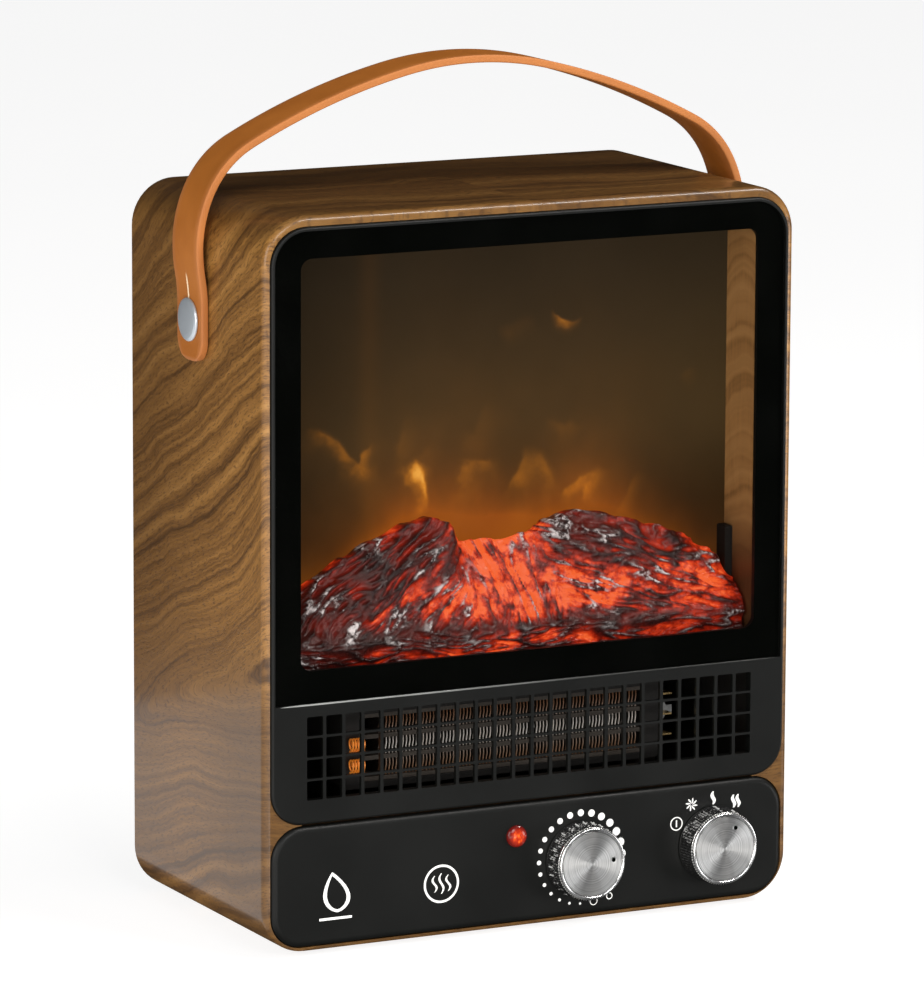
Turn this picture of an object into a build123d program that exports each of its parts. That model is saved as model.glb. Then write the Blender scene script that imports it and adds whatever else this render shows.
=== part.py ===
"""Tabletop ceramic fan heater with a flame-effect window, a leather carrying strap and two dials.

X runs to the right seen from the front, Y to the back and Z up. The heater stands on Z = 0, and the
middle of its footprint is the origin. All sizes are in millimetres.
"""
from build123d import *
import os
from math import cos, radians, sin

# Casing
casing_width = 280.0
casing_height = 348.7
casing_front = -68.5
casing_back = 80.0
casing_wall = 2.5
casing_corner = 22.0
casing_edge_round = 3.5
foot_height = 2.5
casing_bottom = foot_height
casing_top = casing_bottom + casing_height
casing_mid = (casing_bottom + casing_top) / 2
casing_inside = casing_width / 2 - casing_wall

# Front panels, which sit in a rebate of the casing's front flange
panel_front = -70.0
panel_thickness = 4.5
panel_back = panel_front + panel_thickness
panel_half_width = 136.4
panel_clearance = 0.3
panel_ledge = 5.0
flange_back = -63.0
lip_thickness = 2.0
lip_back = -59.0
panel_screw_radius = 1.2
panel_screw_head = 2.3
panel_screw_depth = 2.2
side_screw_x = 134.4
side_screw_heights = (96.0, 206.0, 306.0)
end_screw_x = 70.0
frame_top_screw_z = 345.0
control_low_screw_z = 7.6
frame_bottom = 64.4
frame_top = 346.1
frame_top_corner = 18.0
frame_edge_round = 1.2
control_bottom = 5.2
control_top = 63.4
control_edge_round = 3.0
low_corner = 16.0
lip_clearance = 0.2
beyond = 200.0  # reach of a cut that runs past the heater's side

# Window and grille of the front frame
window_width = 241.2
window_bottom = 137.1
window_top = 331.2
window_corner = 5.5
pane_rim = 1.9
pane_bottom = 121.8
pane_thickness = 1.8
pane_recess = 2.0
pane_gap = 0.15
grille_columns = 24
grille_rows = 4
grille_pitch_x = 9.93
grille_pitch_z = 10.23
grille_hole = (8.3, 9.2)
grille_hole_corner = 0.8
grille_middle = 95.75
grille_thickness = 2.0

# Dials
thermostat_x = 26.3
selector_x = 98.4
dial_z = 32.8
dial_face = -83.0
dial_back = -70.6
dial_base_radius = 19.0
dial_face_radius = 17.4
dial_hollow_radius = 14.5
dial_hollow_front = -77.0
dial_disc_radius = 15.8
dial_disc_thickness = 1.0
shaft_radius = 3.0
shaft_flat = 2.3
shaft_front = -81.0
shaft_back = -52.0
running_gap = 0.06
bushing_radius = 4.6
bushing_front = -74.6
nut_flats = 12.0
nut_thickness = 2.4
rotary_corner = 3.0
tag_half_width = 2.4
tag_half_thickness = 0.4
tag_length = 7.0
pointer_radius = 11.4
pointer_dimple = 0.9
thermostat_pointer_clock = 85.0
selector_pointer_clock = 30.0

# Indicator
indicator_x = -8.3
indicator_z = 47.5
indicator_radius = 4.7
indicator_flange = 5.3
lens_dome = 2.2
lens_back = -61.0
lens_hollow_radius = 3.4
lamp_back = -52.0
lamp_shoulder = -58.0
lamp_front = -67.0
lamp_base_radius = 3.2
lamp_bulb_radius = 2.3

# Flame chamber
chamber_half_width = 121.6
chamber_sheet = 1.5
chamber_floor_top = 132.0
chamber_ceiling = 334.0
screen_front = -36.0
screen_thickness = 2.0
chamber_back = screen_front + screen_thickness
rotor_y = -8.0
rotor_z = 190.0
rotor_paddle_radius = 16.0
rotor_paddles = 10
rotor_paddle_pitch = 15.4
rotor_paddle_twist = 40.0
rotor_left = -90.0
rotor_right = 66.0
rotor_tube_radius = 3.0
spindle_radius = 1.5
cradle_front = -20.0
cradle_back = 4.0
cradle_sheet = 1.2
chamber_flange = 10.0
chamber_floor_back = 14.0
bed_front = -64.0
bed_back = -38.0
bed_ends = 119.5
flame_motor_radius = 14.0
flame_motor_length = 15.0
motor_lug_reach = 16.0
motor_lug_half = 3.0

# Heating element, behind the grille
heater_left = -84.0
heater_right = 68.0
heater_front = -54.0
heater_depth = 14.0
heater_bottom = 78.0
fin_height = 8.2
fin_pitch = 2.8
fin_thickness = 0.5
fin_rows = 3
bar_height = 2.0
element_rim = 8.0
element_corner = 2.0
foil_thickness = 0.4
foil_inset = 2.0
terminal_front = -50.0
terminal_back = -44.0
terminal_pitch = 10.0
terminal_thickness = 0.8
cutout_radius = 7.0
cutout_height = 6.0
cutout_x = 82.0
cutout_half_strap = 10.0
heater_height = fin_rows * fin_height + (fin_rows + 1) * bar_height

# Cross-flow blower
blower_y = 16.0
blower_z = 93.0
blower_radius = 24.0
blower_left = -84.0
blower_right = 64.0
blower_blades = 24
blade_chord = 6.0
blade_thickness = 0.9
blade_lean = 30.0
blower_sheet = 1.2
scroll_radius = 27.0
scroll_turn = 110.0
duct_front = -38.0
duct_low = 73.0
duct_high = 115.5
tongue = ((-12.0, 115.5), (-7.5, 107.5))
side_plate_low = 64.0
side_plate_high = 122.0
side_plate_back = 46.0
blower_motor_radius = 18.0
blower_motor_collar = 8.0
blower_motor_boss = 5.0
blower_motor_length = 22.0
motor_collar_length = 3.0

# Carrying strap
strap_width = 28.0
strap_thickness = 3.7
strap_y = 5.0
strap_crown = 413.5
strap_end = 275.0
strap_end_round = 11.0
rivet_z = 294.5
rivet_shank = 2.5
rivet_cap = 10.3
rivet_gap = 0.3
rivet_cap_rim = 0.6
rivet_cap_dome = 1.9
clench_radius = 4.4
clench_thickness = 1.6
washer_radius = 7.5
washer_thickness = 1.2
slit_width = 0.8
slit_length = 21.0
strap_side = casing_width / 2 + rivet_gap + strap_thickness

# Back and base
cover_front = 76.5
cover_thickness = 2.5
cover_gap = 0.3
boss_x = 132.0
boss_heights = (42.0, 176.0, 312.0)
boss_radius = 6.0
boss_length = 16.0
screw_radius = 1.5
screw_head = 2.9
screw_head_height = 1.6
screw_depth = 10.0
screw_hole_spare = 2.0
recess_length = 3.6
recess_width = 0.8
louvre = (50.0, 4.0)
louvre_pitch_x = 58.0
louvre_pitch_z = 8.5
louvre_columns = 3
intake_z = 104.0
intake_rows = 10
outlet_z = 262.0
outlet_rows = 4
cover_rib_inset = 16.0
cover_rib_thickness = 2.0
cover_rib_height = 4.0
foot_x = 108.0
foot_ys = (-44.0, 58.0)
foot_radius = 8.0
foot_stem_radius = 3.0
foot_stem_spare = 1.5
foot_chamfer = 0.6
gland_x = -100.0
gland_z = 34.0
gland_front = 66.0
gland_collar = 80.6
gland_back = 83.0
gland_bore = 3.6
gland_neck = 6.0
gland_flange = 8.5
gland_tip = 5.6
tip_x = 0.0
tip_y = 52.0
tip_travel = 4.0
tip_hole_radius = 4.0
tip_pin_radius = 3.0
tip_pin_clearance = 0.08
tip_head_radius = 4.6
tip_head_thickness = 2.0
tip_head_spare = 0.3
tip_body = (24.0, 14.0, 20.0)
tip_floor = 3.0
tip_well_top = 17.0
tip_well_radius = 5.0
terminal_low = (-72.0, 40.0)
terminal_high = (-36.0, 54.0)
terminal_height = 12.0
terminal_screw_radius = 2.6
terminal_screw_height = 3.0
terminal_screw_pitch = 9.0


def upright(y):
    """The plane across the heater at depth y, facing forwards."""
    return Plane.XZ.offset(-y)


def endwise(x):
    """The plane from front to back at x, facing right, with Y across and Z up."""
    return Plane.YZ.offset(x)


def placed(outline, y, grow=0.0):
    """An upright outline moved to depth y, grown or shrunk evenly all round."""
    with BuildSketch(upright(y)) as sketch:
        add(outline.sketch)
        if grow:
            offset(amount=grow)
    return sketch.sketch


def block(low, high):
    """A box between two corners, joined to the part that is being built."""
    size = [b - a for a, b in zip(low, high)]
    middle = [(a + b) / 2 for a, b in zip(low, high)]
    with Locations(tuple(middle)):
        Box(*size)


def lathe(points, origin, direction):
    """Turn an outline of (radius, distance along the axis) points, joined to the part being built."""
    along = Vector(*direction)
    radial = Vector(0, 0, 1) if abs(along.X) > 0.5 else Vector(1, 0, 0)
    with BuildSketch(Plane(origin=origin, x_dir=radial, z_dir=radial.cross(along))) as outline:
        with BuildLine():
            Polyline(*points, close=True)
        make_face()
    revolve(outline.sketch, axis=Axis(origin, direction))


def ring(inner, outer, low, high):
    """The lathe outline of a plain ring or, with no inner radius, of a plain disc."""
    return [(inner, low), (outer, low), (outer, high), (inner, high)]


def dome(radius, base, height):
    """The lathe points of a low dome, from its rim to its crown."""
    turns = [radians(15 * step) for step in range(7)]
    return [(radius * cos(turn), base + height * sin(turn)) for turn in turns]


# ---------------------------------------------------------------- shared outlines
with BuildSketch() as frame_outline:
    with Locations((0, (frame_bottom + frame_top) / 2)):
        Rectangle(2 * panel_half_width, frame_top - frame_bottom)
    fillet(frame_outline.vertices().group_by(Axis.Y)[-1], frame_top_corner)
    fillet(frame_outline.vertices().group_by(Axis.Y)[0], low_corner)

with BuildSketch() as control_outline:
    with Locations((0, (control_bottom + control_top) / 2)):
        RectangleRounded(2 * panel_half_width, control_top - control_bottom, low_corner)

with BuildSketch() as casing_outline:
    with Locations((0, casing_mid)):
        RectangleRounded(casing_width, casing_height, casing_corner)

with BuildSketch() as window_outline:
    with Locations((0, (window_bottom + window_top) / 2)):
        RectangleRounded(window_width, window_top - window_bottom, window_corner)

# ---------------------------------------------------------------- casing
frame_screw_places = [(x, z) for x in (-side_screw_x, side_screw_x) for z in side_screw_heights]
frame_screw_places += [(x, frame_top_screw_z) for x in (-end_screw_x, end_screw_x)]
control_screw_places = [(x, dial_z) for x in (-side_screw_x, side_screw_x)]
control_screw_places += [(x, control_low_screw_z) for x in (-end_screw_x, end_screw_x)]
boss_places = [(x, z) for x in (-boss_x, boss_x) for z in boss_heights]
rib_cut_width = 2 * (panel_half_width - low_corner)

with BuildPart() as casing_shell:
    extrude(placed(casing_outline, casing_back), amount=casing_back - casing_front)
    fillet(casing_shell.faces().sort_by(Axis.Y)[0].edges(), casing_edge_round)
    extrude(
        placed(casing_outline, casing_back, -casing_wall),
        amount=casing_back - flange_back,
        mode=Mode.SUBTRACT,
    )
    # Rebates and openings of the front flange
    for outline in (frame_outline, control_outline):
        extrude(
            placed(outline, panel_back, panel_clearance),
            amount=panel_back - panel_front,
            mode=Mode.SUBTRACT,
        )
        extrude(placed(outline, flange_back, -panel_ledge), amount=beyond, mode=Mode.SUBTRACT)
    with BuildSketch(upright(panel_back)):
        with Locations((0, (control_top + frame_bottom) / 2)):
            Rectangle(rib_cut_width, 2 * (frame_bottom - control_top))
    extrude(amount=panel_thickness, mode=Mode.SUBTRACT)
    with BuildSketch(upright(flange_back)):
        with Locations(*frame_screw_places, *control_screw_places):
            Circle(panel_screw_radius)
    extrude(amount=panel_back - flange_back, mode=Mode.SUBTRACT, both=True)
    # Bosses that take the rear cover's screws
    with BuildSketch(upright(cover_front)):
        with Locations(*boss_places):
            Circle(boss_radius)
    extrude(amount=boss_length)
    with BuildSketch(upright(cover_front)):
        with Locations(*boss_places):
            Circle(screw_radius)
    extrude(amount=screw_depth + screw_hole_spare, mode=Mode.SUBTRACT)
    # Holes for the strap's rivets, the feet and the tip-over plunger
    with BuildSketch(endwise(-casing_width)):
        with Locations((strap_y, rivet_z)):
            Circle(rivet_shank)
    extrude(amount=2 * casing_width, mode=Mode.SUBTRACT)
    with BuildSketch(Plane.XY):
        with Locations(*[(x, y) for x in (-foot_x, foot_x) for y in foot_ys]):
            Circle(foot_stem_radius)
        with Locations((tip_x, tip_y)):
            Circle(tip_hole_radius)
    extrude(amount=casing_bottom + 2 * casing_wall, mode=Mode.SUBTRACT)

with BuildPart() as rear_cover:
    extrude(
        placed(casing_outline, cover_front + cover_thickness, -casing_wall - cover_gap),
        amount=cover_thickness,
    )
    # Intake louvres low down, and a smaller set of outlets for the flame effect's lamp heat
    with BuildSketch(upright(cover_front + cover_thickness)):
        for z, rows in ((intake_z, intake_rows), (outlet_z, outlet_rows)):
            with Locations((0, z)):
                with GridLocations(louvre_pitch_x, louvre_pitch_z, louvre_columns, rows):
                    SlotOverall(*louvre)
        with Locations(*boss_places):
            Circle(screw_radius)
        with Locations((gland_x, gland_z)):
            Circle(gland_neck)
    extrude(amount=cover_thickness, mode=Mode.SUBTRACT)
    # Stiffening rim on the inside
    rib = placed(casing_outline, cover_front, -casing_wall - cover_rib_inset) - placed(
        casing_outline, cover_front, -casing_wall - cover_rib_inset - cover_rib_thickness
    )
    extrude(rib, amount=cover_rib_height)

with BuildPart() as rear_cover_screws:
    for x, z in boss_places:
        with BuildSketch(upright(cover_front + cover_thickness)):
            with Locations((x, z)):
                Circle(screw_radius)
        extrude(amount=cover_thickness + screw_depth)
        with BuildSketch(upright(cover_front + cover_thickness + screw_head_height)):
            with Locations((x, z)):
                Circle(screw_head)
                Rectangle(recess_length, recess_width, mode=Mode.SUBTRACT)
                Rectangle(recess_width, recess_length, mode=Mode.SUBTRACT)
        extrude(amount=screw_head_height)

with BuildPart() as feet:
    stem_length = casing_wall + foot_stem_spare
    for x in (-foot_x, foot_x):
        for y in foot_ys:
            with Locations((x, y, 0)):
                Cylinder(foot_radius, foot_height, align=(Align.CENTER, Align.CENTER, Align.MIN))
            with Locations((x, y, foot_height)):
                Cylinder(foot_stem_radius, stem_length, align=(Align.CENTER, Align.CENTER, Align.MIN))
    chamfer(feet.faces().sort_by(Axis.Z)[0].edges(), foot_chamfer)

# ---------------------------------------------------------------- front frame and pane
with BuildPart() as front_frame:
    extrude(placed(frame_outline, panel_back), amount=panel_thickness)
    fillet(front_frame.faces().sort_by(Axis.Y)[0].edges(), frame_edge_round)
    # Locating lip behind, inside the flange's opening
    lip = placed(frame_outline, lip_back, -panel_ledge - lip_clearance) - placed(
        frame_outline, lip_back, -panel_ledge - lip_clearance - lip_thickness
    )
    extrude(lip, amount=lip_back - panel_back)
    extrude(placed(window_outline, lip_back), amount=beyond, mode=Mode.SUBTRACT)
    with BuildSketch(upright(panel_back)):
        with Locations(*frame_screw_places):
            Circle(panel_screw_radius)
    extrude(amount=panel_screw_depth, mode=Mode.SUBTRACT)
    # Recess that takes the pane
    with BuildSketch(upright(panel_front + pane_recess)):
        add(frame_outline.sketch)
        offset(amount=pane_gap - pane_rim)
        with Locations((0, pane_bottom - pane_gap - beyond / 2)):
            Rectangle(2 * beyond, beyond, mode=Mode.SUBTRACT)
    extrude(amount=pane_recess + 1, mode=Mode.SUBTRACT)
    # Grille: a thinned field with rows of rounded square holes
    field_width = (grille_columns - 1) * grille_pitch_x + grille_hole[0]
    field_height = (grille_rows - 1) * grille_pitch_z + grille_hole[1]
    with BuildSketch(upright(panel_back)):
        with Locations((0, grille_middle)):
            Rectangle(field_width, field_height)
    extrude(amount=panel_thickness - grille_thickness, mode=Mode.SUBTRACT)
    with BuildSketch(upright(panel_back)):
        with Locations((0, grille_middle)):
            with GridLocations(grille_pitch_x, grille_pitch_z, grille_columns, grille_rows):
                RectangleRounded(*grille_hole, grille_hole_corner)
    extrude(amount=panel_thickness + 1, mode=Mode.SUBTRACT)

with BuildPart() as window_pane:
    with BuildSketch(upright(panel_front + pane_recess)):
        add(frame_outline.sketch)
        offset(amount=-pane_rim)
        with Locations((0, pane_bottom - beyond / 2)):
            Rectangle(2 * beyond, beyond, mode=Mode.SUBTRACT)
    extrude(amount=pane_thickness)

# ---------------------------------------------------------------- control panel
with BuildPart() as control_panel:
    extrude(placed(control_outline, panel_back), amount=panel_thickness)
    fillet(control_panel.faces().sort_by(Axis.Y)[0].edges(), control_edge_round)
    lip = placed(control_outline, lip_back, -panel_ledge - lip_clearance) - placed(
        control_outline, lip_back, -panel_ledge - lip_clearance - lip_thickness
    )
    extrude(lip, amount=lip_back - panel_back)
    with BuildSketch(upright(panel_back)):
        with Locations((thermostat_x, dial_z), (selector_x, dial_z)):
            Circle(bushing_radius)
        with Locations((indicator_x, indicator_z)):
            Circle(indicator_radius)
    extrude(amount=panel_thickness + 1, mode=Mode.SUBTRACT)
    with BuildSketch(upright(panel_back)):
        with Locations(*control_screw_places):
            Circle(panel_screw_radius)
    extrude(amount=panel_screw_depth, mode=Mode.SUBTRACT)


def rotary_body(x, half_width, half_height, depth):
    """A rotary control's body with its threaded bushing and terminals."""
    with BuildPart() as body:
        block(
            (x - half_width, panel_back, dial_z - half_height),
            (x + half_width, panel_back + depth, dial_z + half_height),
        )
        fillet(body.edges().filter_by(Axis.Y), rotary_corner)
        with BuildSketch(upright(panel_back)):
            with Locations((x, dial_z)):
                Circle(bushing_radius)
        extrude(amount=panel_back - bushing_front)
        with BuildSketch(upright(shaft_back + 1)):
            with Locations((x, dial_z)):
                Circle(shaft_radius + running_gap)
        extrude(amount=beyond, mode=Mode.SUBTRACT)
        for side in (-1, 1):
            for step in (-1, 1):
                middle_x = x + side * half_width * 0.55
                middle_z = dial_z + step * half_height * 0.5
                tag_front = panel_back + depth
                block(
                    (middle_x - tag_half_width, tag_front, middle_z - tag_half_thickness),
                    (middle_x + tag_half_width, tag_front + tag_length, middle_z + tag_half_thickness),
                )
    return body


def rotary_nut(x):
    """The hexagon nut that holds a rotary control to the panel."""
    with BuildPart() as nut:
        with BuildSketch(upright(panel_front)):
            with Locations((x, dial_z)):
                RegularPolygon(nut_flats / 2, 6, major_radius=False)
                Circle(bushing_radius, mode=Mode.SUBTRACT)
        extrude(amount=nut_thickness)
    return nut


def rotary_shaft(x):
    """The turning shaft, with the flat that drives the dial."""
    with BuildPart() as shaft:
        with BuildSketch(upright(shaft_back)):
            with Locations((x, dial_z)):
                Circle(shaft_radius)
        extrude(amount=shaft_back - dial_hollow_front)
        with BuildSketch(upright(dial_hollow_front)):
            with Locations((x, dial_z)):
                Circle(shaft_radius)
            with Locations((x, dial_z - shaft_flat - 5)):
                Rectangle(20, 10, mode=Mode.SUBTRACT)
        extrude(amount=dial_hollow_front - shaft_front)
    return shaft


def dial_body(x):
    """The dial's skirt: hollow behind, with a raised rim in front and a seat for its face disc."""
    profile = [
        (0, dial_hollow_front),
        (dial_hollow_radius, dial_hollow_front),
        (dial_hollow_radius + 1.6, dial_back),
        (dial_base_radius, dial_back),
        (dial_base_radius, dial_back - 1.2),
        (dial_face_radius + 0.4, dial_face + 1),
        (dial_face_radius - 0.4, dial_face),
        (dial_disc_radius, dial_face),
        (dial_disc_radius, dial_face + dial_disc_thickness),
        (0, dial_face + dial_disc_thickness),
    ]
    with BuildPart() as dial:
        lathe(profile, (x, 0, dial_z), (0, 1, 0))
        with BuildSketch(upright(dial_hollow_front)):
            with Locations((x, dial_z)):
                Circle(shaft_radius)
            with Locations((x, dial_z - shaft_flat - 5)):
                Rectangle(20, 10, mode=Mode.SUBTRACT)
        extrude(amount=dial_hollow_front - shaft_front, mode=Mode.SUBTRACT)
    return dial


def dial_disc(x, pointer_clock):
    """The spun face disc, with the pointer dimple at its clock angle."""
    clock = radians(pointer_clock)
    with BuildPart() as disc:
        with BuildSketch(upright(dial_face + dial_disc_thickness)):
            with Locations((x, dial_z)):
                Circle(dial_disc_radius)
        extrude(amount=dial_disc_thickness - 0.2)
        with BuildSketch(upright(dial_face + dial_disc_thickness - 0.3)):
            with Locations((x + pointer_radius * sin(clock), dial_z + pointer_radius * cos(clock))):
                Circle(pointer_dimple)
        extrude(amount=dial_disc_thickness, mode=Mode.SUBTRACT)
    return disc


thermostat_body = rotary_body(thermostat_x, half_width=15, half_height=13, depth=22)
thermostat_nut = rotary_nut(thermostat_x)
thermostat_shaft = rotary_shaft(thermostat_x)
thermostat_knob = dial_body(thermostat_x)
thermostat_knob_disc = dial_disc(thermostat_x, thermostat_pointer_clock)
selector_switch_body = rotary_body(selector_x, half_width=14, half_height=14, depth=18)
selector_nut = rotary_nut(selector_x)
selector_shaft = rotary_shaft(selector_x)
selector_knob = dial_body(selector_x)
selector_knob_disc = dial_disc(selector_x, selector_pointer_clock)

indicator_axis = ((indicator_x, 0, indicator_z), (0, -1, 0))

with BuildPart() as indicator_lens:
    seat = -panel_front
    rim = [(indicator_flange, seat), (indicator_radius, seat), (indicator_radius, -lens_back)]
    hollow = [(lens_hollow_radius, -lens_back), (lens_hollow_radius, seat + 0.4), (0, seat + 1.2)]
    lathe(dome(indicator_flange, seat + 0.6, lens_dome)[::-1] + rim + hollow, *indicator_axis)

with BuildPart() as indicator_lamp:
    base = [(0, -lamp_back), (lamp_base_radius, -lamp_back), (lamp_base_radius, -lamp_shoulder)]
    bulb = [(lamp_bulb_radius, -lamp_shoulder)] + dome(lamp_bulb_radius, -lamp_front, lamp_bulb_radius)
    lathe(base + bulb, *indicator_axis)


def panel_screws(places):
    """Screws driven from inside the casing through the flange into a front panel."""
    with BuildPart() as screws:
        for x, z in places:
            head_back = flange_back + screw_head_height
            tip = panel_back - panel_screw_depth
            head = [(0, head_back), (panel_screw_head, head_back), (panel_screw_head, flange_back)]
            shank = [(panel_screw_radius, flange_back), (panel_screw_radius, tip), (0, tip)]
            lathe(head + shank, (x, 0, z), (0, 1, 0))
    return screws


front_frame_screws = panel_screws(frame_screw_places)
control_panel_screws = panel_screws(control_screw_places)

# ---------------------------------------------------------------- carrying strap
crown_radius = 164.0
slope_radius = 335.0
shoulder_radius = 48.0
side_radius = 62.0
tuck_radius = 80.0
release_radius = 81.8
crown_turn = 13.2
slope_turn = 14.7
shoulder_turn = 37.1
side_turn = 25.0
tuck_turn = 9.9

with BuildPart() as handle_strap:
    with BuildSketch(upright(strap_y + strap_width / 2)):
        with BuildLine():
            crown = JernArc((0, strap_crown - strap_thickness / 2), (1, 0), crown_radius, -crown_turn)
            slope = JernArc(crown @ 1, crown % 1, slope_radius, -slope_turn)
            shoulder = JernArc(slope @ 1, slope % 1, shoulder_radius, -shoulder_turn)
            side = JernArc(shoulder @ 1, shoulder % 1, side_radius, -side_turn)
            tuck = JernArc(side @ 1, side % 1, tuck_radius, -tuck_turn)
            release = JernArc(tuck @ 1, tuck % 1, release_radius, tuck_turn)
            Line(release @ 1, ((release @ 1).X, strap_end))
        trace(line_width=strap_thickness)
    extrude(amount=strap_width)
    mirror(about=Plane.YZ)
    fillet(handle_strap.edges().filter_by(Axis.X).group_by(Axis.Z)[0], strap_end_round)
    with BuildSketch(endwise(-casing_width)):
        with Locations((strap_y, rivet_z)):
            Circle(rivet_shank + running_gap)
        with Locations((strap_y, rivet_z + slit_length / 2)):
            Rectangle(slit_width, slit_length)
    extrude(amount=2 * casing_width, mode=Mode.SUBTRACT)


def handle_rivet(side):
    """A rivet with a domed cap outside the strap and a clenched head inside the casing."""
    cap_back = strap_side + rivet_gap
    inner_head = casing_inside - washer_thickness
    clench_end = inner_head - clench_thickness
    with BuildPart() as rivet:
        clench = [(0, clench_end), (clench_radius, clench_end), (clench_radius, inner_head)]
        shank = [(rivet_shank, inner_head), (rivet_shank, cap_back)]
        cap = [(rivet_cap, cap_back)] + dome(rivet_cap, cap_back + rivet_cap_rim, rivet_cap_dome)
        lathe(clench + shank + cap, (0, strap_y, rivet_z), (side, 0, 0))
    return rivet


handle_rivet_left = handle_rivet(-1)
handle_rivet_right = handle_rivet(1)

with BuildPart() as handle_washers:
    for side in (-1, 1):
        lathe(
            ring(rivet_shank, washer_radius, casing_inside - washer_thickness, casing_inside),
            (0, strap_y, rivet_z),
            (side, 0, 0),
        )

# ---------------------------------------------------------------- flame chamber


def chamber_side(side):
    """A side wall of the flame chamber, with a fixing flange bent outwards at the back."""
    near = side * chamber_half_width
    far = side * (chamber_half_width + chamber_sheet)
    flange = side * (chamber_half_width + chamber_flange)
    with BuildPart() as wall:
        block(
            (min(near, far), panel_back, chamber_floor_top),
            (max(near, far), chamber_back, chamber_ceiling),
        )
        block(
            (min(near, flange), chamber_back, chamber_floor_top),
            (max(near, flange), chamber_back + chamber_sheet, chamber_ceiling),
        )
    return wall


chamber_side_left = chamber_side(-1)
chamber_side_right = chamber_side(1)

with BuildPart() as chamber_top:
    block(
        (-chamber_half_width, panel_back, chamber_ceiling),
        (chamber_half_width, chamber_back, chamber_ceiling + chamber_sheet),
    )

with BuildPart() as chamber_floor:
    block(
        (-chamber_half_width, panel_back, chamber_floor_top - chamber_sheet),
        (chamber_half_width, chamber_floor_back, chamber_floor_top),
    )

with BuildPart() as flame_screen:
    block(
        (-chamber_half_width, screen_front, chamber_floor_top),
        (chamber_half_width, screen_front + screen_thickness, chamber_ceiling),
    )

# Two charred log mounds that slope up to the back
bed_skyline = ((-82, 188), (-42, 200), (-20, 187), (6, 187), (34, 197), (84, 186))
bed_slope = ((bed_front, 140), (-50, 186), (-44, 202), (bed_back, 202))

with BuildPart() as ember_bed:
    with BuildSketch(upright(bed_back)):
        with BuildLine():
            ridge = Spline((-bed_ends, 164), *bed_skyline, (bed_ends, 158))
            Polyline(ridge @ 1, (bed_ends, chamber_floor_top), (-bed_ends, chamber_floor_top), ridge @ 0)
        make_face()
    extrude(amount=bed_back - bed_front)
    with BuildSketch(endwise(-chamber_half_width)):
        with BuildLine():
            Polyline((bed_front, chamber_floor_top), *bed_slope, (bed_back, chamber_floor_top), close=True)
        make_face()
    extrude(amount=2 * chamber_half_width, mode=Mode.INTERSECT)
    # Hollow beneath, over the ember lamps
    with Locations((0, -51, 139)):
        Box(220, 18, 16, mode=Mode.SUBTRACT)


def led_board(low, high, count, led_pitch):
    """A strip circuit board with a row of light-emitting diodes on top."""
    with BuildPart() as board:
        block(low, high)
        with Locations(((low[0] + high[0]) / 2, (low[1] + high[1]) / 2, high[2] + 0.6)):
            with GridLocations(led_pitch, 0, count, 1):
                Box(3.5, 2.8, 1.2)
    return board


ember_led_board = led_board((-98, -56, 132), (98, -46, 133.6), 12, 16)
flame_led_board = led_board((-72, rotor_y - 5, 133.2), (48, rotor_y + 5, 134.8), 8, 15)

cradle_left = rotor_left - 8
cradle_right = rotor_right + 6
cradle_top = rotor_z + 12
rotor_origin = (0, rotor_y, rotor_z)
bore = spindle_radius + running_gap

with BuildPart() as flame_cradle:
    block(
        (cradle_left, cradle_front, chamber_floor_top),
        (cradle_right + cradle_sheet, cradle_back, chamber_floor_top + cradle_sheet),
    )
    for x in (cradle_left, cradle_right):
        block((x, cradle_front, chamber_floor_top), (x + cradle_sheet, cradle_back, cradle_top))
    for x, radius in ((cradle_left, 4), (cradle_right, 2.5)):
        with BuildSketch(endwise(x - 1)):
            with Locations((rotor_y, rotor_z)):
                Circle(radius)
        extrude(amount=cradle_sheet + 2, mode=Mode.SUBTRACT)

with BuildPart() as flame_rotor_bearing:
    lathe(ring(bore, 4, cradle_left - 1.5, cradle_left + 2.5), rotor_origin, (1, 0, 0))

with BuildPart() as flame_rotor:
    lathe(ring(0, spindle_radius, cradle_left - 1, rotor_right + 14), rotor_origin, (1, 0, 0))
    lathe(ring(0, rotor_tube_radius, rotor_left, rotor_right), rotor_origin, (1, 0, 0))
    for row in range(rotor_paddles):
        paddle_x = rotor_left + 8 + row * rotor_paddle_pitch
        with Locations(Location((paddle_x, rotor_y, rotor_z), (rotor_paddle_twist * row, 0, 0))):
            Box(12, 0.8, 2 * rotor_paddle_radius)

with BuildPart() as flame_motor:
    motor_face = cradle_right + cradle_sheet
    motor_end = motor_face + flame_motor_length
    can = [(flame_motor_radius, motor_face), (flame_motor_radius, motor_end), (0, motor_end)]
    shaft_hole = [(0, motor_face + 8), (bore, motor_face + 8), (bore, motor_face)]
    lathe(can + shaft_hole, rotor_origin, (1, 0, 0))
    for end in (-motor_lug_reach, motor_lug_reach):
        block(
            (motor_face, rotor_y - motor_lug_half, rotor_z + end - motor_lug_half),
            (motor_face + cradle_sheet, rotor_y + motor_lug_half, rotor_z + end + motor_lug_half),
        )

# ---------------------------------------------------------------- heating element
heater_back = heater_front + heater_depth
heater_top = heater_bottom + heater_height
heater_middle = (heater_left + heater_right) / 2

with BuildPart() as heater_frame:
    with BuildSketch(upright(heater_back + 1)):
        with Locations((heater_middle, (heater_bottom + heater_top) / 2)):
            RectangleRounded(heater_right - heater_left + 2 * element_rim, heater_height + 6, element_corner)
            Rectangle(heater_right - heater_left, heater_height, mode=Mode.SUBTRACT)
    extrude(amount=heater_depth + 2)

with BuildPart() as ptc_bars:
    for row in range(fin_rows + 1):
        z = heater_bottom + row * (bar_height + fin_height)
        block((heater_left, heater_front, z), (heater_right, heater_back, z + bar_height))

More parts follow.
